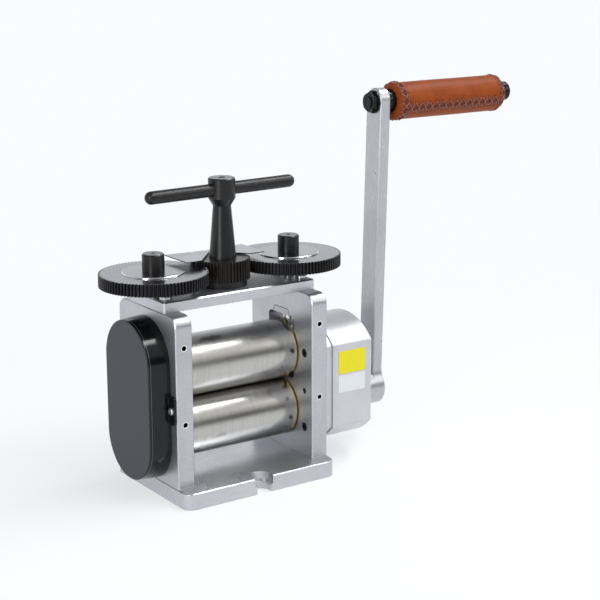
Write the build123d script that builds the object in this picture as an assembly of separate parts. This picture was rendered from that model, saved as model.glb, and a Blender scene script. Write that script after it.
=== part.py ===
from build123d import *
from math import acos, cos, pi, radians, sin, sqrt, tan
import os

# A hand-cranked rolling mill for sheet and wire. Millimetres.
# X runs along the rollers towards the crank, -Y faces the user, Z is up.
# The origin is on the bench, under the middle of the rollers.

os.makedirs("parts", exist_ok=True)

# Fits and clearances
running_clearance = 0.05      # radial, shaft in bush
thread_clearance = 0.05       # radial, screw in its own tapped hole
shank_clearance = 0.25        # radial, screw through a plain hole
seat_clearance = 0.02         # between a piece and the seat that it is fixed in
slide_clearance = 0.2         # bearing block in its window, each side
face_clearance = 0.1          # between turning faces that run side by side
guard_clearance = 0.5         # between a turning piece and the casing beside it

# Base
base_thickness = 13.5
base_depth = 117.0
base_corner_radius = 8.4
base_chamfer = 0.8
notch_width = 13.8
notch_seat_radius = 9.6
notch_inset = 4.75
notch_seat_depth = 7.1

# Columns
throat_width = 113.0
column_thickness = 15.0
column_depth = 90.0
column_height = 139.3
column_corner_radius = 9.0
column_chamfer = 0.8
window_width = 37.0
window_corner_radius = 4.0
accessory_hole_radius = 2.1
accessory_hole_depth = 8.0
accessory_upper_height = 114.5
accessory_lower_height = 52.5

# Top plate
top_plate_thickness = 8.8
top_plate_depth = 55.0
top_plate_inset = 0.5
top_plate_chamfer = 1.0

# Rollers and their bearings
roller_diameter = 49.6
roller_side_gap = 0.5
roller_chamfer = 0.5
roller_gap = 0.4
lower_axis_height = 36.05
journal_radius = 10.0
bush_wall = 2.5
bush_projection = 0.4
block_height = 30.0
block_end_clearance = 0.2
block_chamfer = 1.0
block_headroom = 14.45
spring_room = 8.55
gear_seat_radius = 8.0
key_width = 5.0
key_height = 5.0
key_sunk = 3.0
circlip_thickness = 1.2
circlip_inner_radius = 7.4
circlip_outer_radius = 10.0
circlip_gap_width = 5.0
shaft_end_margin = 1.0

# Synchronising gears inside the cover
sync_teeth = 12
sync_pressure = 20.0
sync_tip_extra = 3.9
sync_root_gap = 0.9
sync_backlash = 0.3
sync_gear_width = 11.0
sync_gear_offset = 1.8

# Gear cover
cover_depth = 18.85
cover_wall = 2.5
cover_face_radius = 34.5
cover_flange_radius = 36.0
cover_low_height = 35.2
cover_high_height = 96.6
cover_edge_radius = 1.2
cover_tab_thickness = 2.0
cover_tab_height = 23.0
cover_tab_centre_height = 64.5
cover_tab_reach = 44.5
cover_tab_corner = 3.0
cover_screw_reach = 40.5

# Return springs under the upper bearing blocks
spring_mean_radius = 3.0
spring_wire_radius = 0.5
spring_turns = 5
spring_spread = 11.0
spring_pocket_radius = 4.0
spring_floor_pocket = 2.0
spring_block_pocket = 3.0

# Screw gears, their pinion and the dials
pinion_teeth = 46
screw_gear_teeth = 92
adjust_pressure = 20.0
adjust_addendum_share = 0.8
adjust_dedendum_share = 1.25
adjust_backlash = 0.25
screw_gear_height = 8.2
screw_gear_width = 10.2
pinion_height = 5.4
pinion_width = 16.7
dial_radius = 25.0
dial_thickness = 1.0
dial_chamfer = 0.3
handle_turns = 5
thread_pitch = 1.5

# Pressure screws
screw_thread_radius = 5.0
screw_foot_radius = 3.5
screw_foot_length = 5.6
button_radius = 4.0
button_stand = 3.05
button_sunk = 1.5
button_chamfer = 0.5
screw_nut_height = 5.5
screw_nut_bottom_width = 25.6
screw_nut_top_width = 19.6
screw_flange_radius = 10.0
screw_flange_thickness = 4.8
screw_seat_radius = 6.5
screw_seat_flat = 5.2
screw_stud_radius = 4.0
screw_stud_length = 9.0
stud_end_gap = 0.5
post_radius = 8.9
post_height = 14.2
post_chamfer = 1.0
post_dimple_radius = 2.0

# Adjusting handle
spindle_seat_radius = 7.0
spindle_seat_flat = 6.2
spindle_shaft_radius = 6.0
spindle_base_radius = 11.0
spindle_neck_radius = 7.3
spindle_neck_height = 42.8
spindle_hub_radius = 11.0
spindle_hub_bottom = 48.8
spindle_hub_height = 16.6
spindle_hub_chamfer = 1.0
spindle_bush_radius = 9.0
spindle_flange_radius = 19.5
spindle_tail = 4.2
spindle_groove_depth = 1.0
t_bar_radius = 5.25
t_bar_length = 142.3
t_bar_below_top = 9.7
t_bar_angle = 2.36
t_screw_radius = 3.0
t_screw_length = 3.2
t_screw_socket = 3.0
t_screw_socket_depth = 1.9

# Index plate over the gears
index_thickness = 0.8
index_clearance = 0.65
index_half_width = 36.75
index_front_y = -5.3
index_shoulder_x = 23.1
index_notch_x = 1.5
index_notch_y = 19.0
index_back_centre_y = 25.0
index_back_corner_y = 29.6
index_post_radius = 2.5
index_stub_radius = 1.5
index_stub_length = 5.0
index_post_x = 14.0
index_post_y = 24.0

# Gearbox
back_plate_thickness = 11.3
back_plate_inset = 1.0
housing_length = 40.7
housing_half_width = 37.5
housing_arc_radius = 49.0
housing_low_clearance = 1.55
housing_high_clearance = 1.45
housing_wall = 5.0
housing_face_wall = 6.0
housing_edge_radius = 1.5
bearing_boss_length = 6.0
corner_boss_radius = 6.0
gearbox_screw_y = 33.5
gearbox_upper_height = 88.5
gearbox_lower_height = 24.7
gearbox_screw_length = 37.0
gearbox_dowel_height = 56.0
gearbox_dowel_radius = 2.5
gearbox_dowel_length = 33.0
gearbox_dowel_sunk = 0.5

# Reduction gears
crank_pinion_teeth = 16
layshaft_wheel_teeth = 24
layshaft_pinion_teeth = 15
roller_wheel_teeth = 25
gear_module = 2.0
gear_pressure = 20.0
gear_backlash = 0.2
first_stage_width = 10.0
second_stage_width = 12.0
stage_gap = 3.0
wheel_side_gap = 2.5
layshaft_journal_radius = 6.0
layshaft_seat_radius = 8.0
layshaft_seat_flat = 6.5
layshaft_bush_wall = 2.0
layshaft_bush_length = 8.0
crank_journal_radius = 9.0
crank_bush_wall = 3.0
crank_nose_radius = 3.5
crank_nose_length = 9.0

# Crank
crank_radius = 250.4
crank_lean = 2.0
crank_hub_radius = 16.0
crank_hub_length = 31.5
crank_seat_radius = 8.0
crank_seat_flat = 6.6
crank_seat_short = 1.0
crank_arm_thickness = 10.5
crank_arm_width = 20.0
crank_arm_end = 1.5
crank_arm_fillet = 14.0
crank_arm_edge = 1.0
crank_washer_radius = 11.0
crank_washer_thickness = 1.6

# Handle on the crank
handle_bolt_radius = 5.0
handle_head_radius = 8.25
handle_head_length = 8.5
handle_head_chamfer = 1.0
handle_nut_flats = 15.0
handle_nut_thickness = 4.5
handle_washer_radius = 9.6
handle_washer_thickness = 1.3
nut_chamfer = 1.0
bolt_end_stand = 1.0
collar_radius = 9.1
collar_length = 8.5
grip_length = 119.7
grip_mouth_inset = 7.0
grip_core_radius = 13.5
grip_core_chamfer = 1.5
leather_thickness = 2.1
leather_left_roll = 2.0
leather_right_dome = 10.0
leather_mouth_radius = 9.6
leather_right_mouth = 5.6
leather_lip = 1.5

# Screws: shank radius, length, head radius, head height, socket across flats
base_screw = (3.0, 22.0, 5.0, 6.0, 5.0)
plate_screw = (2.5, 18.0, 4.75, 2.75, 3.0)
gearbox_screw = (2.0, gearbox_screw_length, 3.5, 4.0, 3.0)
cover_screw = (1.5, 9.0, 3.0, 2.0, 2.0)
crank_screw = (4.0, 20.0, 7.0, 4.4, 5.0)
base_screw_y = 30.0
screw_head_chamfer = 0.4
socket_depth_share = 0.55
tapping_margin = 1.0          # a tapped hole is deeper than its screw by this
plate_screw_y = 18.0

# Blank labels on the gearbox
label_thickness = 0.2
label_left_offset = 5.9
label_width = 27.6
label_corner = 1.0
yellow_label_height = 19.6
yellow_label_bottom = 65.4
pale_label_height = 15.0
pale_label_bottom = 49.0

# Places that follow from the sizes above
inner_face = throat_width / 2
outer_face = inner_face + column_thickness
column_x = inner_face + column_thickness / 2
base_top = base_thickness
column_top = base_top + column_height
plate_top = column_top + top_plate_thickness
lower_z = base_top + lower_axis_height
upper_z = lower_z + roller_diameter + roller_gap
roller_end = inner_face - roller_side_gap
bush_radius = journal_radius + running_clearance + bush_wall
block_bottom = upper_z - block_height / 2
block_top = upper_z + block_height / 2
window_bottom = block_bottom - spring_room
window_top = block_top + block_headroom
nut_top = window_top + screw_nut_height
screw_gear_bottom = plate_top + screw_gear_height
screw_gear_top = screw_gear_bottom + screw_gear_width
pinion_bottom = plate_top + pinion_height
pinion_top = pinion_bottom + pinion_width
opening_travel = handle_turns * thread_pitch * pinion_teeth / screw_gear_teeth
index_bottom = screw_gear_top + opening_travel + index_clearance
back_plate_end = outer_face + back_plate_thickness
housing_end = back_plate_end + housing_length
cavity_end = housing_end - housing_face_wall
boss_start = cavity_end - bearing_boss_length
roller_wheel_start = back_plate_end + wheel_side_gap
roller_wheel_end = roller_wheel_start + second_stage_width
first_stage_start = roller_wheel_end + stage_gap
first_stage_end = first_stage_start + first_stage_width
stage_distance = gear_module * (crank_pinion_teeth + layshaft_wheel_teeth) / 2
second_module = 2 * stage_distance / (layshaft_pinion_teeth + roller_wheel_teeth)
layshaft_z = lower_z + stage_distance
roller_wheel_tip = second_module * (roller_wheel_teeth / 2 + 1)
layshaft_wheel_tip = gear_module * (layshaft_wheel_teeth / 2 + 1)
housing_low_z = lower_z - roller_wheel_tip - housing_low_clearance - housing_wall + housing_arc_radius
housing_high_z = (layshaft_z + layshaft_wheel_tip + housing_high_clearance + housing_wall
                  - housing_arc_radius)
hub_start = housing_end + guard_clearance
hub_end = hub_start + crank_hub_length
arm_start = hub_end - crank_arm_thickness
handle_y = -crank_radius * sin(radians(crank_lean))
handle_z = lower_z + crank_radius * cos(radians(crank_lean))
sides = {"left": -1, "right": 1}
upwards = (Align.CENTER, Align.CENTER, Align.MIN)


def box(x_range, y_range, z_range):
    size = [high - low for low, high in (x_range, y_range, z_range)]
    middle = [(high + low) / 2 for low, high in (x_range, y_range, z_range)]
    return Pos(*middle) * Box(*size)


def bar_x(radius, start, end, y=0.0, z=0.0):
    return Pos(start, y, z) * Rot(0, 90, 0) * Cylinder(radius, end - start, align=upwards)


def bar_y(radius, start, end, x=0.0, z=0.0):
    return Pos(x, start, z) * Rot(-90, 0, 0) * Cylinder(radius, end - start, align=upwards)


def bar_z(radius, start, end, x=0.0, y=0.0):
    return Pos(x, y, start) * Cylinder(radius, end - start, align=upwards)


def turned_profile(start, steps):
    # Steps are (radius, end) pairs from one end of a turned piece to the other
    points = [(start, 0)]
    for radius, end in steps:
        points += [(start, radius), (end, radius)]
        start = end
    points.append((start, 0))
    return points


def turned_x(start, steps, y=0.0, z=0.0):
    profile = Polygon(*turned_profile(start, steps), align=None)
    return Pos(0, y, z) * revolve(profile, axis=Axis.X)


def turned_z(start, steps, x=0.0, y=0.0):
    points = [(radius, height) for height, radius in turned_profile(start, steps)]
    return Pos(x, y, 0) * revolve(Plane.XZ * Polygon(*points, align=None), axis=Axis.Z)


def mirrored(side, right_piece):
    # Pieces are drawn on the right; the left ones are their mirror images
    return right_piece if side > 0 else mirror(right_piece, about=Plane.YZ)


def joined(pieces):
    return Compound(children=[piece for piece in pieces])


def hexagon(flats):
    return RegularPolygon(flats / sqrt(3), 6)


def cap_screw(sizes):
    # A screw with its head upwards and the underside of the head at the origin
    shank, length, head, height, socket = sizes
    body = bar_z(shank, -length, 0) + bar_z(head, 0, height)
    body = chamfer(body.edges().group_by(Axis.Z)[-1], screw_head_chamfer)
    return body - Pos(0, 0, height) * extrude(hexagon(socket), -socket_depth_share * height)


def involute(angle):
    return tan(angle) - angle


def gear_face(teeth, pitch_radius, pressure, tip, root, backlash, phase, flank_points=5):
    # The flanks are involutes of the base circle. Below it they run straight to the root.
    # Each tooth is thinner than half a pitch by half of the backlash.
    pressure_angle = radians(pressure)
    base_radius = pitch_radius * cos(pressure_angle)
    half_tooth = pi / (2 * teeth) - backlash / (4 * pitch_radius)
    start = max(root, base_radius)
    flank = []
    for index in range(flank_points):
        radius = start + (tip - start) * index / (flank_points - 1)
        spread = involute(pressure_angle) - involute(acos(min(1.0, base_radius / radius)))
        flank.append((radius, half_tooth + spread))
    if root < base_radius:
        flank.insert(0, (root, flank[0][1]))
    points = []
    for tooth in range(teeth):
        middle = phase + tooth * 2 * pi / teeth
        points += [(r * cos(middle - a), r * sin(middle - a)) for r, a in flank]
        points += [(r * cos(middle + a), r * sin(middle + a)) for r, a in reversed(flank)]
    return Polygon(*points, align=None)


def train_gear(teeth, module, phase, start, width, z):
    # A wheel or pinion of the reduction gears, along X
    pitch_radius = module * teeth / 2
    face = gear_face(teeth, pitch_radius, gear_pressure, pitch_radius + module,
                     pitch_radius - 1.25 * module, gear_backlash, phase)
    return Pos(0, 0, z) * extrude(Plane.YZ.offset(start) * face, width)


def flat_shaft_x(radius, flat, start, end, z):
    # A round seat with one flat, at the distance flat above the axis
    trim = box((start, end), (-radius, radius), (z + flat, z + radius + 1))
    return bar_x(radius, start, end, 0, z) - trim


def flat_shaft_z(radius, flat, start, end, x):
    trim = box((x - radius, x + radius), (flat, radius + 1), (start, end))
    return bar_z(radius, start, end, x) - trim


def biarc(start, start_way, end, end_way):
    # Two arcs with equal tangent lengths that join two points with given directions
    chord = end - start
    slope = chord.dot(start_way + end_way)
    bend = 2 * (1 - start_way.dot(end_way))
    reach = (-slope + sqrt(slope ** 2 + bend * chord.dot(chord))) / bend
    first, last = start + start_way * reach, end - end_way * reach
    middle = (first + last) * 0.5
    return [Edge.make_tangent_arc(start, start_way, middle),
            Edge.make_tangent_arc(middle, (last - first).normalized(), end)]


def coil_spring(bottom, top):
    # A helix with its half turns as pairs of arcs, swept with the round wire
    rise = (top - bottom - 2 * spring_wire_radius) / spring_turns

    def station(half_turn):
        angle = half_turn * pi
        height = bottom + spring_wire_radius + rise * half_turn / 2
        point = Vector(spring_mean_radius * cos(angle), spring_mean_radius * sin(angle), height)
        way = Vector(-spring_mean_radius * sin(angle), spring_mean_radius * cos(angle), rise / (2 * pi))
        return point, way.normalized()

    edges = []
    for half_turn in range(2 * spring_turns):
        edges += biarc(*station(half_turn), *station(half_turn + 1))
    point, way = station(0)
    wire_face = Plane(origin=point, z_dir=way) * Circle(spring_wire_radius)
    print("return spring: least gap between turns", round(rise - 2 * spring_wire_radius, 2), "mm")
    return sweep(wire_face, path=Wire(edges))


# ---- Base -------------------------------------------------------------------

def base_plate():
    half_length, half_depth = outer_face, base_depth / 2
    outline = RectangleRounded(2 * half_length, base_depth, base_corner_radius)
    plate = chamfer(extrude(outline, base_top).edges().group_by(Axis.Z)[-1], base_chamfer)
    seat_floor = base_top - notch_seat_depth
    for way in (-1, 1):
        edge = way * half_depth
        centre = way * (half_depth - notch_inset)
        reach = sorted((centre, edge + way))
        plate -= box((-notch_width / 2, notch_width / 2), reach, (0, base_top))
        plate -= bar_z(notch_width / 2, 0, base_top, 0, centre)
        plate -= bar_z(notch_seat_radius, seat_floor, base_top, 0, centre)
    shank, length, head, height, socket = base_screw
    for x in (-column_x, column_x):
        for y in (-base_screw_y, base_screw_y):
            plate -= bar_z(shank + shank_clearance, 0, base_top, x, y)
            plate -= bar_z(head + shank_clearance, 0, height + guard_clearance, x, y)
    return plate


def column_base_screws():
    height = base_screw[3] + guard_clearance
    screw = Rot(180, 0, 0) * cap_screw(base_screw)
    return joined([Pos(x, y, height) * screw
                   for x in (-column_x, column_x) for y in (-base_screw_y, base_screw_y)])


# ---- Columns ----------------------------------------------------------------

def nut_face(clearance):
    # The screw nut widens downwards, so that it cannot be pulled up through the column
    low = screw_nut_bottom_width / 2 + clearance
    high = screw_nut_top_width / 2 + clearance
    return Polygon((-low, window_top), (low, window_top),
                   (high, nut_top + clearance), (-high, nut_top + clearance), align=None)


def column_blank():
    # The right column, without the holes that only one side has
    outline = Pos(0, (base_top + column_top) / 2) * Rectangle(column_depth, column_height)
    outline = fillet(outline.vertices().group_by(Axis.Y)[-1], column_corner_radius)
    column = extrude(Plane.YZ.offset(inner_face) * outline, column_thickness)
    rims = column.faces().sort_by(Axis.X)[-1].edges() + column.faces().sort_by(Axis.X)[0].edges()
    column = chamfer(rims.filter_by(lambda edge: edge.center().Z > base_top + 1), column_chamfer)
    window = Pos(0, (window_bottom + window_top) / 2) * RectangleRounded(
        window_width, window_top - window_bottom, window_corner_radius)
    column -= extrude(Plane.YZ.offset(inner_face) * window, column_thickness)
    column -= extrude(Plane.YZ.offset(inner_face) * nut_face(seat_clearance), column_thickness)
    column -= bar_z(screw_thread_radius + shank_clearance, nut_top, column_top, column_x)
    column -= bar_x(bush_radius, inner_face, outer_face, 0, lower_z)
    for y in (-spring_spread, spring_spread):
        column -= bar_z(spring_pocket_radius, window_bottom - spring_floor_pocket, window_bottom,
                        column_x, y)
    shank, length = base_screw[:2]
    screw_tip = base_screw[3] + guard_clearance + length
    for y in (-base_screw_y, base_screw_y):
        column -= bar_z(shank + thread_clearance, base_top, screw_tip + tapping_margin, column_x, y)
    shank, length = plate_screw[:2]
    for y in (-plate_screw_y, plate_screw_y):
        column -= bar_z(shank + thread_clearance, plate_top - length - tapping_margin, column_top, column_x, y)
    for height in (accessory_lower_height, accessory_upper_height):
        front = -column_depth / 2
        column -= bar_y(accessory_hole_radius, front, front + accessory_hole_depth,
                        column_x, base_top + height)
    return column


def left_column():
    column = mirror(column_blank(), about=Plane.YZ)
    shank, length = cover_screw[:2]
    for y in (-cover_screw_reach, cover_screw_reach):
        column -= bar_x(shank + thread_clearance, -outer_face, -outer_face + length, y,
                        base_top + cover_tab_centre_height)
    return column


def gearbox_screw_places():
    return [(y, base_top + height) for y in (-gearbox_screw_y, gearbox_screw_y)
            for height in (gearbox_lower_height, gearbox_upper_height)]


def right_column():
    column = column_blank()
    shank, length, head, height, socket = gearbox_screw
    for y, z in gearbox_screw_places():
        column -= bar_x(shank + shank_clearance, inner_face, outer_face, y, z)
        column -= bar_x(head + shank_clearance, inner_face, inner_face + height + face_clearance, y, z)
    for y in (-gearbox_screw_y, gearbox_screw_y):
        column -= bar_x(gearbox_dowel_radius + seat_clearance, inner_face, outer_face, y,
                        base_top + gearbox_dowel_height)
    return column


def screw_nuts():
    nut = extrude(Plane.YZ.offset(inner_face) * nut_face(0), column_thickness)
    nut -= bar_z(screw_thread_radius + running_clearance, window_top, nut_top, column_x)
    return joined([mirrored(side, nut) for side in sides.values()])


def lower_roller_bushes():
    start = inner_face - bush_projection
    bush = bar_x(bush_radius - seat_clearance, start, outer_face, 0, lower_z)
    bush -= bar_x(journal_radius + running_clearance, start, outer_face, 0, lower_z)
    return joined([mirrored(side, bush) for side in sides.values()])


def return_springs():
    bottom = window_bottom - spring_floor_pocket
    spring = coil_spring(bottom, block_bottom + spring_block_pocket)
    return joined([Pos(x, y, 0) * spring for x in (-column_x, column_x)
                   for y in (-spring_spread, spring_spread)])


# ---- Top plate --------------------------------------------------------------

def top_plate():
    half_length = outer_face - top_plate_inset
    plate = box((-half_length, half_length), (-top_plate_depth / 2, top_plate_depth / 2),
                (column_top, plate_top))
    edges = plate.edges().filter_by(Axis.Z) + plate.edges().group_by(Axis.Z)[-1]
    plate = chamfer(edges, top_plate_chamfer)
    plate -= bar_z(spindle_bush_radius + seat_clearance, column_top, plate_top)
    for x in (-column_x, column_x):
        plate -= bar_z(screw_thread_radius + shank_clearance, column_top, plate_top, x)
        for y in (-plate_screw_y, plate_screw_y):
            plate -= bar_z(plate_screw[0] + shank_clearance, column_top, plate_top, x, y)
    for x in (-index_post_x, index_post_x):
        plate -= bar_z(index_stub_radius + thread_clearance, plate_top - index_stub_length,
                       plate_top, x, index_post_y)
    return plate


def top_plate_screws():
    screw = cap_screw(plate_screw)
    return joined([Pos(x, y, plate_top) * screw
                   for x in (-column_x, column_x) for y in (-plate_screw_y, plate_screw_y)])


def spindle_bush():
    bush = bar_z(spindle_bush_radius, column_top, plate_top)
    bush += bar_z(spindle_flange_radius, plate_top, pinion_bottom - face_clearance)
    bore = spindle_shaft_radius + running_clearance
    return bush - bar_z(bore, column_top, pinion_bottom)


def index_plate():
    left_half = [(-index_half_width, index_back_corner_y), (-index_half_width, index_front_y),
                 (-index_shoulder_x, index_front_y), (-index_notch_x, index_notch_y)]
    right_half = [(-x, y) for x, y in reversed(left_half)]
    outline = Polygon(*left_half, *right_half, (0, index_back_centre_y), align=None)
    plate = extrude(Plane.XY.offset(index_bottom) * outline, index_thickness)
    for x in (-index_post_x, index_post_x):
        plate -= bar_z(index_stub_radius + seat_clearance, index_bottom,
                       index_bottom + index_thickness, x, index_post_y)
    return plate


def index_posts():
    post = turned_z(plate_top - index_stub_length + stud_end_gap, [
        (index_stub_radius, plate_top),
        (index_post_radius, index_bottom),
        (index_stub_radius, index_bottom + index_thickness),
    ])
    return joined([Pos(x, index_post_y, 0) * post for x in (-index_post_x, index_post_x)])


# ---- Gear cover -------------------------------------------------------------

def stadium(radius):
    low, high = base_top + cover_low_height, base_top + cover_high_height
    slot = Rot(0, 0, 90) * SlotCenterToCenter(high - low, 2 * radius)
    return Pos(0, (low + high) / 2) * slot


def cover_shell(inset, depth):
    flange = Plane.YZ.offset(-outer_face) * stadium(cover_flange_radius - inset)
    face = Plane.YZ.offset(-outer_face - depth) * stadium(cover_face_radius - inset)
    return loft([flange, face], ruled=True)


def gear_cover():
    shell = cover_shell(0, cover_depth)
    shell = fillet(shell.faces().sort_by(Axis.X)[0].edges(), cover_edge_radius)
    centre = base_top + cover_tab_centre_height
    tab_outline = Pos(0, centre) * RectangleRounded(2 * cover_tab_reach, cover_tab_height,
                                                    cover_tab_corner)
    shell += extrude(Plane.YZ.offset(-outer_face - cover_tab_thickness) * tab_outline,
                     cover_tab_thickness)
    shell -= cover_shell(cover_wall, cover_depth - cover_wall)
    for y in (-cover_screw_reach, cover_screw_reach):
        shell -= bar_x(cover_screw[0] + shank_clearance, -outer_face - cover_tab_thickness,
                       -outer_face, y, centre)
    return shell


def gear_cover_screws():
    screw = Rot(0, -90, 0) * cap_screw(cover_screw)
    x = -outer_face - cover_tab_thickness
    return joined([Pos(x, y, base_top + cover_tab_centre_height) * screw
                   for y in (-cover_screw_reach, cover_screw_reach)])


# ---- Gearbox ----------------------------------------------------------------

def gearbox_outline(inset):
    radius = housing_arc_radius - inset
    low, high = housing_low_z, housing_high_z
    middle = (low + high) / 2
    ovals = Pos(0, low) * Circle(radius) + Pos(0, high) * Circle(radius)
    ovals += Pos(0, middle) * Rectangle(2 * radius, high - low)
    return ovals & Pos(0, middle) * Rectangle(2 * (housing_half_width - inset), 4 * radius)


def gearbox_back_plate():
    plate = extrude(Plane.YZ.offset(outer_face) * gearbox_outline(back_plate_inset),
                    back_plate_thickness)
    plate -= bar_x(journal_radius + guard_clearance, outer_face, back_plate_end, 0, lower_z)
    plate -= bar_x(layshaft_journal_radius + layshaft_bush_wall,
                   back_plate_end - layshaft_bush_length, back_plate_end, 0, layshaft_z)
    for y, z in gearbox_screw_places():
        plate -= bar_x(gearbox_screw[0] + shank_clearance, outer_face, back_plate_end, y, z)
    for y in (-gearbox_screw_y, gearbox_screw_y):
        plate -= bar_x(gearbox_dowel_radius + seat_clearance, outer_face, back_plate_end, y,
                       base_top + gearbox_dowel_height)
    return plate


def gearbox_housing():
    shell = extrude(Plane.YZ.offset(back_plate_end) * gearbox_outline(0), housing_length)
    shell = fillet(shell.faces().sort_by(Axis.X)[-1].edges(), housing_edge_radius)
    cavity = extrude(Plane.YZ.offset(back_plate_end) * gearbox_outline(housing_wall),
                     cavity_end - back_plate_end)
    dowel_z = base_top + gearbox_dowel_height
    dowel_places = [(y, dowel_z) for y in (-gearbox_screw_y, gearbox_screw_y)]
    for y, z in gearbox_screw_places() + dowel_places:
        cavity -= bar_x(corner_boss_radius, back_plate_end, cavity_end, y, z)
    cavity -= bar_x(crank_journal_radius + crank_bush_wall + housing_wall, boss_start, cavity_end,
                    0, lower_z)
    cavity -= bar_x(layshaft_journal_radius + layshaft_bush_wall + housing_wall, boss_start,
                    cavity_end, 0, layshaft_z)
    shell -= cavity
    shell -= bar_x(crank_journal_radius + crank_bush_wall, boss_start, housing_end, 0, lower_z)
    shell -= bar_x(layshaft_journal_radius + layshaft_bush_wall, boss_start,
                   boss_start + layshaft_bush_length, 0, layshaft_z)
    screw_tip = inner_face + gearbox_screw[3] + face_clearance + gearbox_screw_length
    for y, z in gearbox_screw_places():
        shell -= bar_x(gearbox_screw[0] + thread_clearance, back_plate_end, screw_tip + tapping_margin, y, z)
    dowel_tip = inner_face + gearbox_dowel_sunk + gearbox_dowel_length
    for y, z in dowel_places:
        shell -= bar_x(gearbox_dowel_radius + seat_clearance, back_plate_end, dowel_tip + tapping_margin, y, z)
    return shell


def gearbox_screws():
    screw = Rot(0, -90, 0) * cap_screw(gearbox_screw)
    x = inner_face + gearbox_screw[3] + face_clearance
    return joined([Pos(x, y, z) * screw for y, z in gearbox_screw_places()])


def gearbox_dowels():
    start = inner_face + gearbox_dowel_sunk
    return joined([bar_x(gearbox_dowel_radius, start, start + gearbox_dowel_length, y,
                         base_top + gearbox_dowel_height)
                   for y in (-gearbox_screw_y, gearbox_screw_y)])


def layshaft_bushes():
    outer = layshaft_journal_radius + layshaft_bush_wall - seat_clearance
    inner = layshaft_journal_radius + running_clearance
    bushes = []
    for start in (back_plate_end - layshaft_bush_length, boss_start):
        end = start + layshaft_bush_length
        bushes.append(bar_x(outer, start, end, 0, layshaft_z) - bar_x(inner, start, end, 0, layshaft_z))
    return joined(bushes)


def crank_bush():
    outer = crank_journal_radius + crank_bush_wall - seat_clearance
    bush = bar_x(outer, boss_start, housing_end, 0, lower_z)
    return bush - bar_x(crank_journal_radius + running_clearance, boss_start, housing_end, 0, lower_z)


def label(bottom, height):
    left = back_plate_end + label_left_offset
    outline = Pos(left + label_width / 2, base_top + bottom + height / 2) * RectangleRounded(
        label_width, height, label_corner)
    return extrude(Plane.XZ.offset(housing_half_width) * outline, label_thickness)


# ---- Lower roller -----------------------------------------------------------

sync_start = outer_face + sync_gear_offset
sync_end = sync_start + sync_gear_width
sync_clip_end = sync_end + circlip_thickness
wheel_clip_end = roller_wheel_end + circlip_thickness


def key_slot(start, end, z):
    depth = gear_seat_radius - key_sunk
    half = key_width / 2 + seat_clearance
    return box((start, end), (-half, half), (z + depth, z + gear_seat_radius + 1))


def key(start, end, z):
    bottom = z + gear_seat_radius - key_sunk
    return box((start, end), (-key_width / 2, key_width / 2), (bottom, bottom + key_height))


def keyed_bore(start, end, z):
    top = z + gear_seat_radius - key_sunk + key_height + face_clearance
    half = key_width / 2 + seat_clearance
    bore = bar_x(gear_seat_radius + seat_clearance, start, end, 0, z)
    return bore + box((start, end), (-half, half), (z, top))


def groove(start, z):
    end = start + circlip_thickness
    return (bar_x(gear_seat_radius + 1, start, end, 0, z)
            - bar_x(circlip_inner_radius, start, end, 0, z))


def circlip(start, z):
    end = start + circlip_thickness
    ring = (bar_x(circlip_outer_radius, start, end, 0, z)
            - bar_x(circlip_inner_radius + seat_clearance, start, end, 0, z))
    gap = box((start, end), (-circlip_gap_width / 2, circlip_gap_width / 2),
              (z - circlip_outer_radius, z))
    return ring - gap


def roller_shaft(end, z, right_steps):
    # Barrel, journals and the seat of the synchronising gear on the left
    shaft = turned_x(-end, [
        (gear_seat_radius, -sync_start),
        (journal_radius, -roller_end),
        (roller_diameter / 2 - roller_chamfer, -roller_end + roller_chamfer),
        (roller_diameter / 2, roller_end - roller_chamfer),
        (roller_diameter / 2 - roller_chamfer, roller_end),
    ] + right_steps, 0, z)
    shaft -= groove(-sync_clip_end, z)
    return shaft - key_slot(-sync_end, -sync_start - seat_clearance, z)


def lower_roller():
    end = wheel_clip_end + shaft_end_margin
    shaft = roller_shaft(sync_clip_end + shaft_end_margin, lower_z, [
        (journal_radius, roller_wheel_start),
        (gear_seat_radius, end),
    ])
    shaft -= groove(roller_wheel_end, lower_z)
    shaft -= key_slot(roller_wheel_start + seat_clearance, roller_wheel_end, lower_z)
    pilot = crank_nose_radius + running_clearance
    return shaft - bar_x(pilot, end - crank_nose_length - guard_clearance, end, 0, lower_z)


def sync_gear(z, phase):
    # Long teeth stay in mesh when the upper roller is lifted
    distance = upper_z - lower_z
    tip = distance / 2 + sync_tip_extra
    face = gear_face(sync_teeth, distance / 2, sync_pressure, tip, distance - tip - sync_root_gap,
                     sync_backlash, phase)
    gear = Pos(0, 0, z) * extrude(Plane.YZ.offset(-sync_end) * face, sync_gear_width)
    return gear - keyed_bore(-sync_end, -sync_start, z)


def roller_wheel():
    gear = train_gear(roller_wheel_teeth, second_module, pi / 2, roller_wheel_start,
                      second_stage_width, lower_z)
    return gear - keyed_bore(roller_wheel_start, roller_wheel_end, lower_z)


def lower_roller_keys():
    return joined([key(-sync_end, -sync_start - seat_clearance, lower_z),
                   key(roller_wheel_start + seat_clearance, roller_wheel_end, lower_z)])


def lower_roller_circlips():
    return joined([circlip(-sync_clip_end, lower_z), circlip(roller_wheel_end, lower_z)])


# ---- Upper roller and its blocks --------------------------------------------

def upper_roller():
    return roller_shaft(sync_clip_end + shaft_end_margin, upper_z,
                        [(journal_radius, outer_face - guard_clearance)])


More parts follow.
